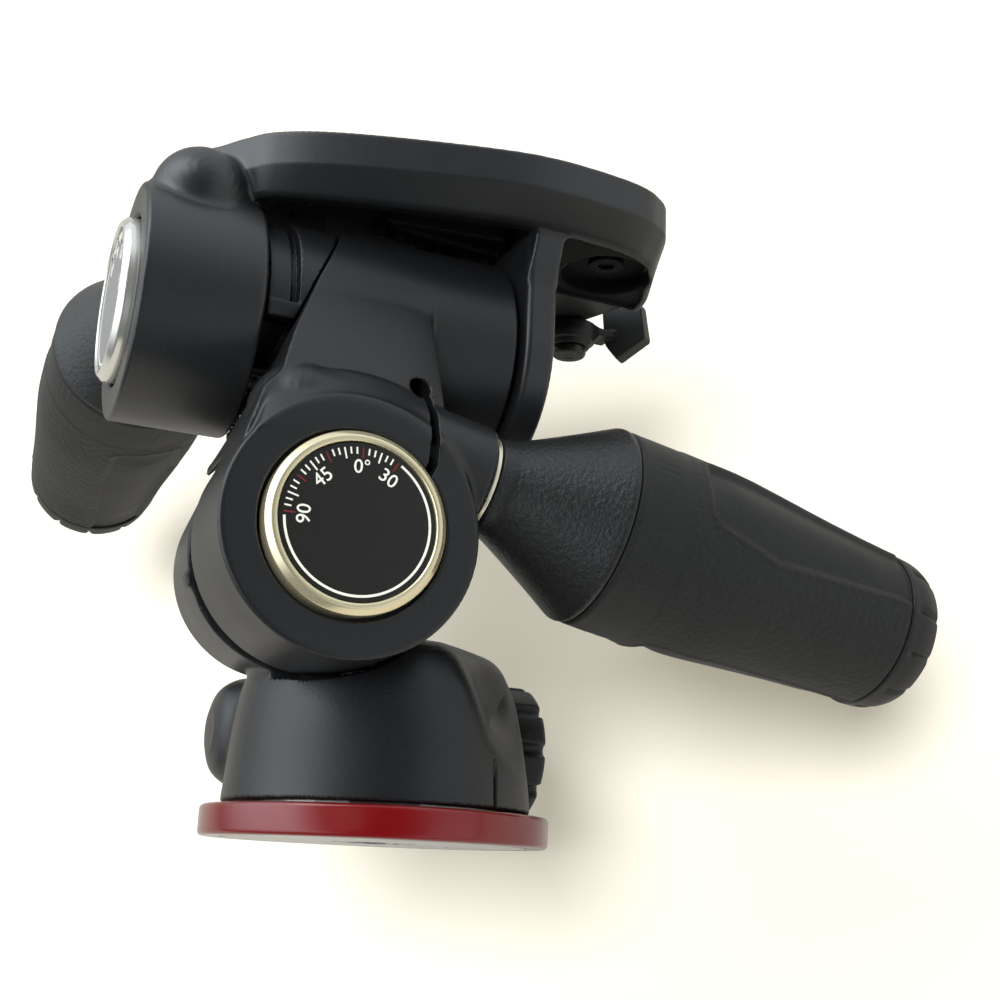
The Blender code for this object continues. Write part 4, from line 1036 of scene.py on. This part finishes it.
def yokeField(p):
    size = yoke
    d = joined(platformField(p), boxField(p, worldAxes, *size["bridge"], 1.0), 2.0)
    ear = rodField(p, barrelAxes, size["ear"], size["earFront"], size["earBack"], 1.0)
    upper = boxField(p, worldAxes, (size["earFront"], -size["ear"], rollHeight),
                     (size["earBack"], size["ear"], size["earTop"]), 1.0)
    ear = joined(np.minimum(ear, upper), hullField(p, earFlare), 1.0)
    # the hollow under the deck, between the collar and the ear
    inner = platformSide(p, platform["share"])
    hollow = kept(size["hollowFront"] - p[0], p[0] - size["hollowBack"], 0.5)
    hollow = kept(kept(inner + size["hollowWall"], hollow, 1.5), p[2] - size["hollowTop"], 0.8)
    d = without(d, hollow, 0.5)
    d = joined(d, undersideField(p), 0.6)
    d = joined(d, ear, 1.2)
    d = joined(d, collarField(p, rollStation, rollFace), 1.6)
    stop = boxField(p, turnedStation(rollStation, size["stopTurn"]), *size["stop"], 0.2)
    d = joined(d, stop, 0.2)
    d = collarBores(p, d, rollStation, rollFace)
    for cut in ("leverRoom", "plateSeat", "catchRoom"):
        low, high, edge, soft = size[cut]
        d = without(d, boxField(p, worldAxes, low, high, edge), soft)
    # the shallow recess behind the ear
    recess = kept(kept(inner + size["recessWall"], size["recessFront"] - p[0], 0.8),
                  p[1] - size["recessSide"], 0.8)
    d = without(d, np.maximum(recess, p[2] - size["recessTop"]), 0.4)
    return bored(d, p, size["bores"])


underside = {"leaf": [(-9.7, -13.2), (13.2, -15.9), (16.8, -7.5), (4.0, -8.5), (-5.0, -9.9)],
             "deepLeaf": [(-6.8, -12.1), (12.4, -14.4), (14.6, -9.1), (4.0, -10.0), (-3.8, -11.2)],
             "plate": [(-30.0, -10.5), (-20.5, -13.5), (-17.0, 3.0), (-30.0, 6.0)],
             "ribSlope": 4.9 / 19.0, "teeth": (-8.2, -4.0, 0.4, 4.8, 8.8),
             "pin": (-24.2, -4.0), "pads": ((-24.0, 10.0), (11.0, 10.0))}


def cornerField(p, corners, low, high, edge=0.2):
    # An upright prism on a convex outline of corners, from one height to another.
    spots = np.array(corners, float)
    middle = spots.mean(axis=0)
    d = None
    for a, b in zip(spots, np.roll(spots, -1, axis=0)):
        normal = np.array((b[1] - a[1], a[0] - b[0])) / np.linalg.norm(b - a)
        offset = normal @ a
        if normal @ middle > offset:
            normal, offset = -normal, -offset
        side = p[0] * np.float32(normal[0]) + p[1] * np.float32(normal[1]) - np.float32(offset)
        d = side if d is None else kept(d, side, 0.5)
    return rounded2(d, np.abs(p[2] - (low + high) / 2) - (high - low) / 2, edge)


def undersideField(p):
    # Screw pads, a hollow leaf, a toothed rib and a plate that stand down inside the hollow.
    size = underside
    d = cornerField(p, size["plate"], 111.5, 114.0)
    d = np.minimum(d, rodField(p, uprightAt(*size["pin"]), 0.6, 110.9, 114, 0.3))
    leaf = cornerField(p, size["leaf"], 109.9, 114.0)
    leaf = without(leaf, cornerField(p, size["deepLeaf"], 100.0, 110.9), 0.2)
    d = np.minimum(d, leaf)
    slope = size["ribSlope"]
    across = np.abs(p[1] + 3.4 - slope * p[0]) / np.float32(np.hypot(1, slope)) - 0.8
    rib = np.maximum(across, np.abs(p[0] + 0.2) - 9.6)
    d = np.minimum(d, np.maximum(rib, np.abs(p[2] - 112.6) - 1.4))
    for x in size["teeth"]:
        tooth = boxField(p, worldAxes, (x - 0.9, -3.9 + slope * x - 1.4, 110.3),
                         (x + 0.9, -3.9 + slope * x + 0.2, 114.0), 0.15)
        d = np.minimum(d, tooth)
    for place in size["pads"]:
        d = np.minimum(d, rodField(p, uprightAt(*place), 3.0, 112.3, 114, 0.3))
    return d


# the yoke wears the brighter copy of the cast black, a painted sheen
rollYoke = addCasting("rollYoke", yokeField, (-54, -34, 67), (53, 34, 123), 0.56, litCastBlack,
                      "yoke", ["roll_yoke"])


def paintHollow(mesh, finish, inside):
    # The faces whose middles are inside the given field get a second finish, a darker and duller
    # black: painted shade.
    count = len(mesh.polygons)
    middle = np.empty(count * 3, np.float32)
    mesh.polygons.foreach_get("center", middle)
    middle = middle.reshape(-1, 3) / mm
    chosen = inside([middle[:, i] for i in range(3)]) < 0
    mesh.materials.append(finish)
    mesh.polygons.foreach_set("material_index", chosen.astype(np.int32))


def hollowRoom(p):
    # The hollow's ceiling and ribs, and the shallow recess with its counterbore, where the painted
    # shade goes.
    inner = platformSide(p, platform["share"])
    ceiling = np.maximum(np.maximum(inner + 2.7, np.abs(p[0] + 7.3) - 23.5),
                         np.abs(p[2] - 112.0) - 2.35)
    recess = np.maximum(np.maximum(inner + 1.2, 22.5 - p[0]),
                        np.maximum(p[1] - 0.7, np.abs(p[2] - 112.6) - 2.3))
    return np.minimum(ceiling, recess)


# painted shade on the hollow's ceiling and ribs and on the recess
paintHollow(rollYoke.data, recessShadeBlack, hollowRoom)
print("yoke made")


# Stop ring
ringSize = {"outer": 31.0, "groove": 27.0, "sleeve": 25.8, "back": 18.0, "band": 18.5,
            "neck": 17.2, "skin": 19.4, "tab": 19.7, "inner": 12.0, "tabTop": 186.0,
            "tabBottom": 195.0, "tabRear": 23.6, "hollowEnd": 293.0, "hollowRear": 25.0,
            "skirt": 17.75, "skirtFrom": 238.0, "cutFront": -25.7, "cutTop": 71.0}


def stopRingField(p):
    # Three turned steps, a tab across them, and the hollow below the tab where the stop swings.
    size = ringSize
    d = rodField(p, rollStation, size["band"], size["groove"], size["outer"], 0.35)
    d = np.minimum(d, rodField(p, rollStation, size["neck"], size["sleeve"] - 1,
                               size["groove"] + 1, 0.1))
    d = np.minimum(d, rodField(p, rollStation, size["skin"], size["back"], size["sleeve"], 0.25))
    x, y, z = inAxes(p, rollStation)
    r = np.sqrt(x * x + y * y)
    turn = np.degrees(np.arctan2(y, x)) % 360
    tab = rounded2(sectorField(turn, r, size["tabTop"], size["tabBottom"]), r - size["tab"], 0.45)
    tab = rounded2(tab, np.maximum(size["tabRear"] - z, z - size["outer"]), 0.3)
    d = joined(d, np.maximum(tab, size["inner"] - r), 0.2)
    swing = sectorField(turn, r, size["tabBottom"], size["hollowEnd"])
    swing = np.maximum(np.maximum(swing, size["inner"] - r), size["hollowRear"] - z)
    # the outer skin stays closed below, where it hides the hollow's end
    skin = np.minimum(r - size["skirt"], (turn - size["skirtFrom"]) * radians(1) * np.maximum(r, 1))
    swing = np.maximum(swing, skin)
    d = without(d, swing, 0.25)
    d = kept(d, besideSeam(p) + 0.3, 0.25)
    d = without(d, np.maximum(size["cutFront"] - p[0], p[2] - size["cutTop"]), 0.2)
    return bored(d, p, [(rollStation, 9.3, 0, 60, 0.05, 0.2)])


addCasting("stopRing", stopRingField, (-33, -22, 68), (-15, 22, 112), 0.45, castBlack, "tilt",
           ["roll_stop_ring"])
print("stop ring made")


# Dials
dial = {"bezel": 14.6, "wall": 1.9, "seat": -2.3, "proud": 2.4, "bevel": 1.0, "recess": 0.5}


def makeDial(name, station, face, bezelFinish, faceFinish, body):
    # A bevelled ring round a flat face, which lies a little below the ring's front.
    size = dial
    bore = size["bezel"] - size["wall"]
    front = face + size["proud"]
    ring = eased([(face + size["seat"], bore), (face + size["seat"], size["bezel"], 0.2),
                  (front - size["bevel"], size["bezel"], 0.25),
                  (front, size["bezel"] - size["bevel"], 0.25), (front, bore + 0.25, 0.15),
                  (front - 0.25, bore, 0.1)], closed=True)
    addTurned(name + "Bezel", station, ring, 256, bezelFinish, body, [name + "_dial_bezel"],
              sharp=28)
    top = front - size["recess"]
    disc = eased([(face + size["seat"], 0), (face + size["seat"], bore - 0.3, 0.2),
                  (top, bore - 0.15, 0.12), (top, 0)])
    addTurned(name + "Face", station, finely(disc, 3.0), 192, faceFinish, body,
              [name + "_dial_face"])
    return top


tiltDialTop = makeDial("tilt", tiltStation, tiltFace, champagne, dialInk, "pan")
rollDialTop = makeDial("roll", rollStation, rollFace, paleNickel, greyDial, "tilt")

scale = {"outer": 11.8, "long": 10.0, "short": 10.7, "width": 0.13, "arc": 11.65,
         "arcWidth": 0.2, "numbers": 8.6, "height": 2.3, "proud": 0.06, "sunk": -0.03,
         "red": (-90, -60, -30, 0, 30), "labels": (("90", -90), ("45", -45), ("0°", 0), ("30", 30))}


def barMesh(name, station, top, turns, inner, outer, half):
    # Thin bars on the dial, one for each turn from the top, each a closed box.
    base = np.array([(u, v, w) for w in (scale["sunk"], scale["proud"]) for u, v in
                     ((-half, inner), (half, inner), (half, outer), (-half, outer))], float)
    turns = np.radians(np.asarray(turns, float))[:, None]
    u, v, w = base.T[:, None]
    x = u * np.cos(turns) + v * np.sin(turns)
    y = -u * np.sin(turns) + v * np.cos(turns)
    points = np.stack([x, y, np.repeat(top + w, len(turns), axis=0)], axis=-1).reshape(-1, 3)
    box = np.array(((0, 3, 2, 1), (4, 5, 6, 7), (0, 1, 5, 4), (1, 2, 6, 5), (2, 3, 7, 6),
                    (3, 0, 4, 7)))
    quads = (np.arange(len(turns))[:, None, None] * 8 + box).reshape(-1, 4)
    return fillMesh(name, toWorld(station, points), quads, None)


def arcMesh(name, station, top, radius, half, start, stop):
    # A flat band along an arc, closed at both ends.
    count = 120
    turns = np.radians(np.linspace(start, stop, count))
    rings = [(radius - half, scale["sunk"]), (radius + half, scale["sunk"]),
             (radius + half, scale["proud"]), (radius - half, scale["proud"])]
    points = np.stack([np.stack([r * np.sin(turns), r * np.cos(turns), np.full(count, top + w)],
                                axis=-1) for r, w in rings], axis=1).reshape(-1, 3)
    ends = np.array([(3, 2, 1, 0), np.arange(4) + (count - 1) * 4])
    quads = np.concatenate([gridFaces(count, 4, False), ends])
    return fillMesh(name, toWorld(station, points), quads, None)


def numberMesh(name, station, top, labels):
    # Plain angle numbers, each turned to its own place round the dial.
    corners, faces = [], []
    shift = 0
    for text, degrees in labels:
        curve = bpy.data.curves.new(name + text, "FONT")
        curve.body = text
        curve.align_x = "CENTER"
        curve.align_y = "CENTER"
        curve.size = scale["height"] * 1.36
        curve.offset = 0.006 * scale["height"]
        curve.extrude = 0.045
        curve.resolution_u = 6
        flat = bpy.data.objects.new(name + text, curve)
        bpy.context.scene.collection.objects.link(flat)
        bpy.context.view_layer.update()
        made = bpy.data.meshes.new_from_object(flat)
        count = len(made.vertices)
        found = np.empty(count * 3)
        made.vertices.foreach_get("co", found)
        found = found.reshape(-1, 3)
        turn = radians(degrees)
        u, v = found[:, 0], found[:, 1] + scale["numbers"]
        spots = np.stack([u * cos(turn) + v * sin(turn), -u * sin(turn) + v * cos(turn),
                          top + found[:, 2]], axis=-1)
        corners.append(toWorld(station, spots))
        faces += [tuple(shift + index for index in side.vertices) for side in made.polygons]
        shift += count
        bpy.data.objects.remove(flat, do_unlink=True)
        bpy.data.meshes.remove(made)
    mesh = bpy.data.meshes.new(name)
    mesh.from_pydata([tuple(row) for row in (np.concatenate(corners) * mm).tolist()], [], faces)
    mesh.update()
    shape = bmesh.new()
    shape.from_mesh(mesh)
    bmesh.ops.remove_doubles(shape, verts=shape.verts, dist=1e-7)
    bmesh.ops.recalc_face_normals(shape, faces=shape.faces)
    shape.to_mesh(mesh)
    shape.free()
    return mesh


def makeScale(name, station, top, body):
    # A mark every five degrees, longer ones every fifteen, red ones every thirty, and a white
    # arc round the rest of the dial.
    white = [mark for mark in np.arange(-90, 31, 5) if mark not in scale["red"]]
    groups = (("LongWhite", [m for m in white if m % 15 == 0], scale["long"], markWhite),
              ("ShortWhite", [m for m in white if m % 15], scale["short"], markWhite),
              ("Red", scale["red"], scale["long"], markRed))
    for label, turns, inner, finish in groups:
        addPiece(name + label + "Marks", barMesh(name + label, station, top, turns, inner,
                                                 scale["outer"], scale["width"]),
                 finish, body, sharp=None).data.shade_flat()
    arc = arcMesh(name + "Arc", station, top, scale["arc"], scale["arcWidth"], 33, 267)
    addPiece(name + "ScaleArc", arc, markWhite, body)
    numbers = numberMesh(name + "Numbers", station, top, scale["labels"])
    addPiece(name + "Numbers", numbers, markWhite, body, sharp=20)


def makeArrow():
    # An open triangle printed above the dial, its left stroke thicker: an outer and an inner
    # triangle, joined into one closed band.
    outer = np.array(((-0.35, 18.65), (2.55, 18.75), (1.30, 15.75)))
    inner = np.array(((0.45, 18.25), (2.02, 18.33), (1.33, 16.75)))
    rings = [(outer, -0.2), (outer, 0.03), (inner, 0.03), (inner, -0.2)]
    points = np.concatenate([np.column_stack([ring, np.full(3, tiltFace + lift)])
                             for ring, lift in rings])
    mesh = fillMesh("faceArrow", toWorld(tiltStation, points), gridFaces(4, 3, True), None)
    addPiece("faceArrow", mesh, arrowInk, "tilt", sharp=20)


makeArrow()
makeScale("tilt", tiltStation, tiltDialTop, "pan")
makeScale("roll", rollStation, rollDialTop, "tilt")
print("dials made")


# Handles, their lines measured along each handle's own axis
washerLine = [(21.1, 3.3), (21.1, 8.3, 0.2), (21.9, 8.3, 0.2), (21.9, 3.3)]
tubeLine = [(34.5, 7.5), (34.5, 9.0, 0.3), (98.5, 9.0, 0.3), (98.5, 7.5)]
coneLine = [(22.2, 3.3), (22.2, 8.5, 0.5), (24.5, 8.5, 1.0), (30.0, 11.2, 4.0), (36.0, 14.3, 4.0),
            (42.3, 17.75, 0.6), (43.2, 17.75, 0.45), (43.2, 9.3), (34.2, 9.3), (34.2, 3.3)]
gripLine = [(43.5, 15.3), (43.5, 17.4, 0.3), (44.6, 17.8, 1.5), (50.0, 17.9, 3.0),
            (65.5, 17.85, 6.0), (74.0, 17.1, 4.0), (82.0, 16.3, 4.0), (90.0, 15.6, 4.0),
            (98.0, 15.1, 2.0), (101.5, 14.95, 0.3), (102.0, 14.5, 0.2), (102.0, 12.7)]
capLine = [(99.1, 0), (99.1, 10.5), (102.3, 10.5), (102.3, 14.6, 0.2), (102.7, 14.75, 0.5),
           (106.4, 14.5, 2.0), (109.4, 12.9, 1.4), (110.1, 11.0, 1.0), (110.1, 0)]
panelRows = (57.0, 72.0, 87.0, 99.0)
panelHalf = (24.5, 31.0, 28.0, 24.5)
panelMiddles = ((59.5, 63.0, 60.0, 58.5), (197.5, 202.0, 203.0, 203.5))
bandMarks = ((46.3, 51.0, 59.0, 64.5), (44.5, 49.8, 124.0, 130.5), (44.5, 49.8, 191.0, 197.5))
bandDots = ((48.4, 77.8), (45.9, 115.7), (47.1, 149.9))
leatherStart = 53.8


def smoothStep(value, low, high):
    t = np.clip((value - low) / (high - low), 0, 1)
    return t * t * (3 - 2 * t)


def aside(turn, middle):
    # Degrees from the middle, either way round.
    return (turn - middle + 180) % 360 - 180


def gripShape(s, a, r):
    # The outer skin sinks by up to 1 mm in two long panels with a raised lip. The smooth band in
    # front carries pairs of short strokes and shallow round dents, and sits a little lower than
    # the leather behind it. Between the panels' ends the skin runs out in a low step.
    outer = smoothStep(r, 14.2, 14.9) * smoothStep(s, 44.0, 45.5)
    turn = np.degrees(a)
    for middles in panelMiddles:
        middle = np.interp(s, panelRows, middles)
        half = np.interp(s, panelRows, panelHalf)
        side = np.abs(aside(turn, middle))
        across = (half - side) * radians(1) * 17
        along = s - 56.6 - 1.2 * np.minimum(side / half, 1.3) ** 2
        reach = rounded2(-across, -along, 2.0) * -1
        floor = smoothStep(reach, 0.0, 1.5)
        lip = np.exp(-((reach + 0.45) / 0.5) ** 2)
        r = r + outer * (0.20 * lip - (0.98 - 0.30 * smoothStep(s, 70, 101)) * floor)
        swell = np.exp(-(side / 13.0) ** 2) * smoothStep(s, 60, 64) * (1 - smoothStep(s, 92, 98))
        r = r + outer * 0.30 * swell
    for start, stop, first, last in bandMarks:
        for middle in (first, last):
            across = aside(turn, middle) * radians(1) * 18
            along = smoothStep(s, start, start + 0.6) * (1 - smoothStep(s, stop - 0.6, stop))
            r = r + outer * along * 0.07 * (np.exp(-((across - 0.35) / 0.32) ** 2)
                                            - np.exp(-((across + 0.25) / 0.32) ** 2))
    for at, middle in bandDots:
        across = aside(turn, middle) * radians(1) * 18
        away = np.sqrt(across ** 2 + (s - at) ** 2)
        r = r + outer * 0.05 * np.exp(-((away - 1.5) / 0.45) ** 2)
    return s, r - outer * 0.14 * (1 - smoothStep(s, leatherStart, leatherStart + 0.8))


def grainLayer(mesh, axes):
    # How much leather grain each corner carries: none on the band in front and in the panels.
    count = len(mesh.vertices)
    spots = np.empty(count * 3, np.float32)
    mesh.vertices.foreach_get("co", spots)
    spots = (spots.reshape(-1, 3) / mm - axes["at"]) @ axes["turn"].T
    turn = np.degrees(np.arctan2(spots[:, 1], spots[:, 0]))
    s = spots[:, 2]
    amount = smoothStep(s, leatherStart - 0.2, leatherStart + 0.8)
    for middles in panelMiddles:
        side = np.abs(aside(turn, np.interp(s, panelRows, middles)))
        inside = smoothStep(np.interp(s, panelRows, panelHalf) - side, 0.0, 3.0)
        amount = amount * (1 - 0.85 * inside * smoothStep(s, 56.5, 58.0))
    layer = mesh.attributes.new("grained", "FLOAT", "POINT")
    layer.data.foreach_set("value", amount.astype(np.float32))


def capShape(s, a, r):
    # Eleven shallow notches round the rim of the cap.
    turn = ((np.degrees(a) - 51.0) * 11 / 360 + 0.5) % 1 - 0.5
    notch = np.exp(-(turn / 0.065) ** 2)
    rim = smoothStep(r, 11.5, 13.5) * smoothStep(s, 103.3, 104.6)
    return s, r - 0.75 * notch * rim


def makeHandle(name, axes):
    body = name + "_handle"
    addTurned(name + "Washer", axes, eased(washerLine, closed=True), 128, washerCream, body,
              [name + "_clamp_washer"])
    addTurned(name + "Tube", axes, finely(eased(tubeLine, closed=True), 4.0), 160, turnedSilver,
              body, [name + "_handle_tube"])
    addTurned(name + "Cone", axes, finely(eased(coneLine, closed=True), 1.5), 192, coneGrain,
              body, [name + "_handle_cone"])
    # the sleeve's skin finely, and its bore in a few steps back to the start
    body = name + "_grip"
    bore = finely(np.array([gripLine[-1][:2], gripLine[0][:2]]), 3.0)[1:-1]
    skin = np.concatenate([finely(eased(gripLine), 0.45), bore])
    sleeve = addTurned(name + "Grip", axes, skin, 360, gripLeather, body,
                       [name + "_grip_sleeve"], sharp=60, shape=gripShape)
    grainLayer(sleeve.data, axes)
    addTurned(name + "Cap", axes, finely(eased(capLine), 0.6), 288, mouldedBlack, body,
              [name + "_grip_cap"], sharp=60, shape=capShape)


makeHandle("tilt", tiltHandle)
makeHandle("roll", rollHandle)
print("handles made")


# Pan lock knob
knob = {"stem": 6.2, "stemStart": 24.3, "bolt": 2.7, "inner": 27.2, "outer": 35.7,
        "radius": 13.0, "edge": 1.8, "dish": 9.6, "dishDepth": 0.5, "notches": 10, "depth": 1.3,
        "flat": 10.2, "rim": 12.4}


def knobShape(s, a, r):
    # Round notches in the rim, each a half circle whose depth fades towards the flat faces.
    size = knob
    turn = (a * size["notches"] / (2 * pi) + 0.5) % 1 - 0.5
    across = turn * 2 * pi / size["notches"] * size["radius"]
    depth = np.sqrt(np.maximum(size["depth"] ** 2 - across ** 2, 0))
    return s, r - depth * smoothStep(r, size["flat"], size["rim"])


def makeKnob():
    size = knob
    dish = size["outer"] - size["dishDepth"]
    line = eased([(size["inner"], 0), (size["inner"], size["bolt"]),
                  (size["stemStart"], size["bolt"]), (size["stemStart"], size["stem"], 0.3),
                  (size["inner"], size["stem"], 0.4), (size["inner"], size["radius"], size["edge"]),
                  (size["outer"], size["radius"], size["edge"]),
                  (size["outer"] - 0.05, size["dish"], 0.4), (dish, size["dish"] - 0.8, 0.4),
                  (dish, 0)])
    addTurned("panKnob", lockStation, finely(line, 0.5), 320, mouldedBlack, "pan_knob",
              ["pan_lock_knob"], sharp=50, shape=knobShape)


makeKnob()
print("knob made")


# Platform fittings
lever = {"at": (44.5, 20.0), "finger": [(57.8, 12.7, 117.6), (58.6, 11.8, 109.5),
                                        (54.4, 16.8, 105.6), (52.7, 18.9, 109.2),
                                        (52.2, 19.5, 117.6)],
         "fingerBack": (2.9, 2.4), "arm": ((44.5, 16.6, 110.2), (54.0, 22.6, 111.9)),
         "hub": [(107.0, 0), (107.0, 4.3, 0.3), (108.1, 4.9, 0.2), (108.2, 5.4, 0.2),
                 (109.6, 6.0, 0.5), (111.9, 6.0, 0.3), (111.9, 0)], "bore": 2.2,
         "screw": [(105.1, 0), (105.3, 1.2), (105.1, 1.4), (105.1, 3.3, 0.4), (105.7, 3.7, 0.3),
                   (106.7, 3.7, 0.1), (106.7, 1.9), (119.9, 1.9), (119.9, 0)]}
leverAxes = uprightAt(*lever["at"])
fingerSides = planesOfHull([(x + share * lever["fingerBack"][0],
                             y + share * lever["fingerBack"][1], z)
                            for x, y, z in lever["finger"] for share in (0, 1)])


def leverField(p):
    # A hub that narrows downwards in two steps, a flat arm, and a five-sided finger plate.
    d = turnedField(p, leverAxes, eased(lever["hub"]))
    d = joined(d, boxField(p, worldAxes, *lever["arm"], 0.5), 1.2)
    d = joined(d, hullField(p, fingerSides, 0.18), 0.8)
    return bored(d, p, [(leverAxes, lever["bore"], 100, 120, 0.05, 0.3)])


addCasting("clampLever", leverField, (37, 10, 104), (64, 28, 119), 0.3, mouldedBlack, "lever",
           ["clamp_lever"])
addTurned("leverScrew", leverAxes, eased(lever["screw"]), 96, greenScrew, "yoke",
          ["lever_pivot_screw"])
socket = 1.75
blockScrewLine = [(113.0, 0), (113.0, 0.9), (113.0, socket), (112.35, socket), (112.3, 2.0, 0.1),
                  (112.3, 3.4, 0.25), (113.3, 3.5, 0.1), (113.3, 0)]


def hexSocket(s, a, r):
    # Makes the round socket six-sided, its corners where the circle was.
    side = socket * cos(pi / 6) / np.cos((a + pi / 6) % (pi / 3) - pi / 6)
    return s, np.where(r < 1.9, r / socket * side, r)


# the screw deep in the recess wears the recess's darker, duller black of painted shade
addTurned("blockScrew", uprightAt(37.3, -10.6), eased(blockScrewLine), 96, recessShadeBlack, "yoke",
          ["block_screw"], sharp=30, shape=hexSocket)
print("lever and screws made")


# Camera plate, its pad and screw, the catch, the vials and the small screws
plate = {"middle": 14.0, "length": 26.2, "width": 21.0, "low": 114.8, "high": 121.8, "corner": 3.0,
         "leadIn": 1.0, "pocket": 9.5, "pocketTop": 118.2, "bore": 3.47, "inset": 2.2,
         "padLow": 122.1, "padHigh": 123.3, "padHole": 8.5, "border": 1.6, "rib": 2.4,
         "ribDepth": 0.45, "grooveHeight": 119.6, "groove": 1.3}
plateAxes = uprightAt(plate["middle"], 0)
cameraScrew = {"line": [(115.7, 0), (115.7, 8.5, 0.4), (117.9, 8.5, 0.4), (117.9, 3.17, 0.2),
                        (127.5, 3.17, 0.5), (128.0, 2.6, 0.2), (128.0, 0)],
               "pitch": 1.27, "depth": 0.5, "teeth": 40, "toothDepth": 0.14}
catch = {"box": ((19.0, 27.1, 114.6), (25.0, 33.4, 117.6)), "middle": 22.0, "thumb": 33.6,
         "ridge": 1.2, "round": 0.42, "half": 2.2}
vialLine = [(-6.0, 0), (-6.0, 2.0, 0.8), (6.0, 2.0, 0.8), (6.0, 0)]
vialRing = {"out": 1.9, "half": 0.2, "low": 1.85, "high": 2.03}
smallScrewLine = [(111.9, 0), (111.9, 0.45), (111.9, 0.85), (111.45, 0.95, 0.1),
                  (111.4, 1.4, 0.3), (112.2, 1.7, 0.1), (112.2, 0)]


def roundedBox(x, y, length, width, corner):
    # Distance to a rectangle with round corners.
    u = np.abs(x) - length + corner
    v = np.abs(y) - width + corner
    return (np.sqrt(np.maximum(u, 0) ** 2 + np.maximum(v, 0) ** 2)
            + np.minimum(np.maximum(u, v), 0) - corner)


def plateField(p):
    # The plate narrows upwards over its whole height and has a long groove low in both sides.
    size = plate
    x, y, z = inAxes(p, plateAxes)
    rise = np.clip((z - size["low"]) / (size["high"] - size["low"]), 0, 1) * size["leadIn"]
    side = roundedBox(x, y, size["length"], size["width"], size["corner"]) + rise
    middle = (size["low"] + size["high"]) / 2
    d = rounded2(side, np.abs(z - middle) - (size["high"] - size["low"]) / 2, 0.5)
    away = np.sqrt((np.abs(y) - size["width"] - 0.3) ** 2 + (z - size["grooveHeight"]) ** 2)
    d = without(d, away - size["groove"], 0.3)
    return bored(d, p, [(plateAxes, size["pocket"], 100, size["pocketTop"], 0.1, 0.3),
                        (plateAxes, size["bore"], 100, 130, 0.05, 0.3)])


def padField(p):
    # Rubber with round ribs across it, inside a plain border.
    size = plate
    x, y, z = inAxes(p, plateAxes)
    side = roundedBox(x, y, size["length"] - size["inset"], size["width"] - size["inset"],
                      size["corner"])
    wave = 0.5 + 0.5 * np.cos(2 * pi * x / size["rib"])
    inside = np.clip((-side - size["border"]) / 0.6, 0, 1)
    top = size["padHigh"] - size["ribDepth"] * wave * inside
    d = rounded2(side, np.maximum(size["padLow"] - z, z - top), 0.25)
    return bored(d, p, [(plateAxes, size["padHole"], 100, 130, 0.05, 0.25)])


def screwThread(s, a, r):
    # One thread runs up the shank, and the head's rim is finely milled.
    size = cameraScrew
    ridge = 0.5 - 0.5 * np.cos(2 * pi * s / size["pitch"] - a)
    shank = smoothStep(s, 118.3, 119.0) * (1 - smoothStep(s, 127.0, 127.8))
    thread = size["depth"] * ridge * shank
    milled = size["toothDepth"] * (0.5 + 0.5 * np.cos(size["teeth"] * a))
    return s, r - np.minimum(r / 3.0, 1) * thread - milled * smoothStep(r, 8.0, 8.4)


def catchField(p):
    # A small slide with four ridges for the thumb on its outer end.
    size = catch
    d = boxField(p, worldAxes, *size["box"], 0.45)
    away = p[0] - size["middle"]
    across = (away + size["ridge"] / 2) % size["ridge"] - size["ridge"] / 2
    ridge = np.sqrt(across ** 2 + (p[1] - size["thumb"]) ** 2) - size["round"]
    return without(d, np.maximum(ridge, np.abs(away) - size["half"]), 0.2)


addCasting("cameraPlate", plateField, (-14, -23, 113), (42, 23, 123), 0.6, castBlack, "plate",
           ["camera_plate"])
addCasting("platePad", padField, (-12, -21, 121), (40, 21, 124.5), 0.4, padRubber, "plate",
           ["plate_pad"])
addTurned("cameraScrew", plateAxes, finely(eased(cameraScrew["line"]), 0.11), 160, zincSteel,
          "camera_bolt", ["camera_screw"], sharp=50, shape=screwThread)
addCasting("safetyCatch", catchField, (18, 26, 113.6), (26, 34.4, 118.6), 0.2, yellowBrass,
           "catch", ["safety_catch"])
for name, (at, across) in vialPlaces.items():
    # a glass tube with round ends and two thin black rings beside its middle
    tube = axesAt(at, across, (0, 0, 1), (across[1], -across[0], 0))
    addTurned("vial" + name, tube, finely(eased(vialLine), 0.8), 64, vialGlass, "yoke",
              ["level_vial_" + name.lower()], sharp=50)
    for side, middle in (("Left", -vialRing["out"]), ("Right", vialRing["out"])):
        ring = [(middle + way * vialRing["half"], vialRing[level])
                for way, level in ((-1, "low"), (-1, "high"), (1, "high"), (1, "low"))]
        addTurned("vial" + name + side, tube, ring, 64, arrowInk, "yoke")
for number, (x, y) in enumerate(((-24, -10), (-24, 10), (11, -10), (11, 10)), start=1):
    addTurned("smallScrew" + str(number), uprightAt(x, y), eased(smallScrewLine), 48, blackScrew,
              "yoke", ["underside_screw_" + str(number)], sharp=30)
print("fittings made")

print("done")
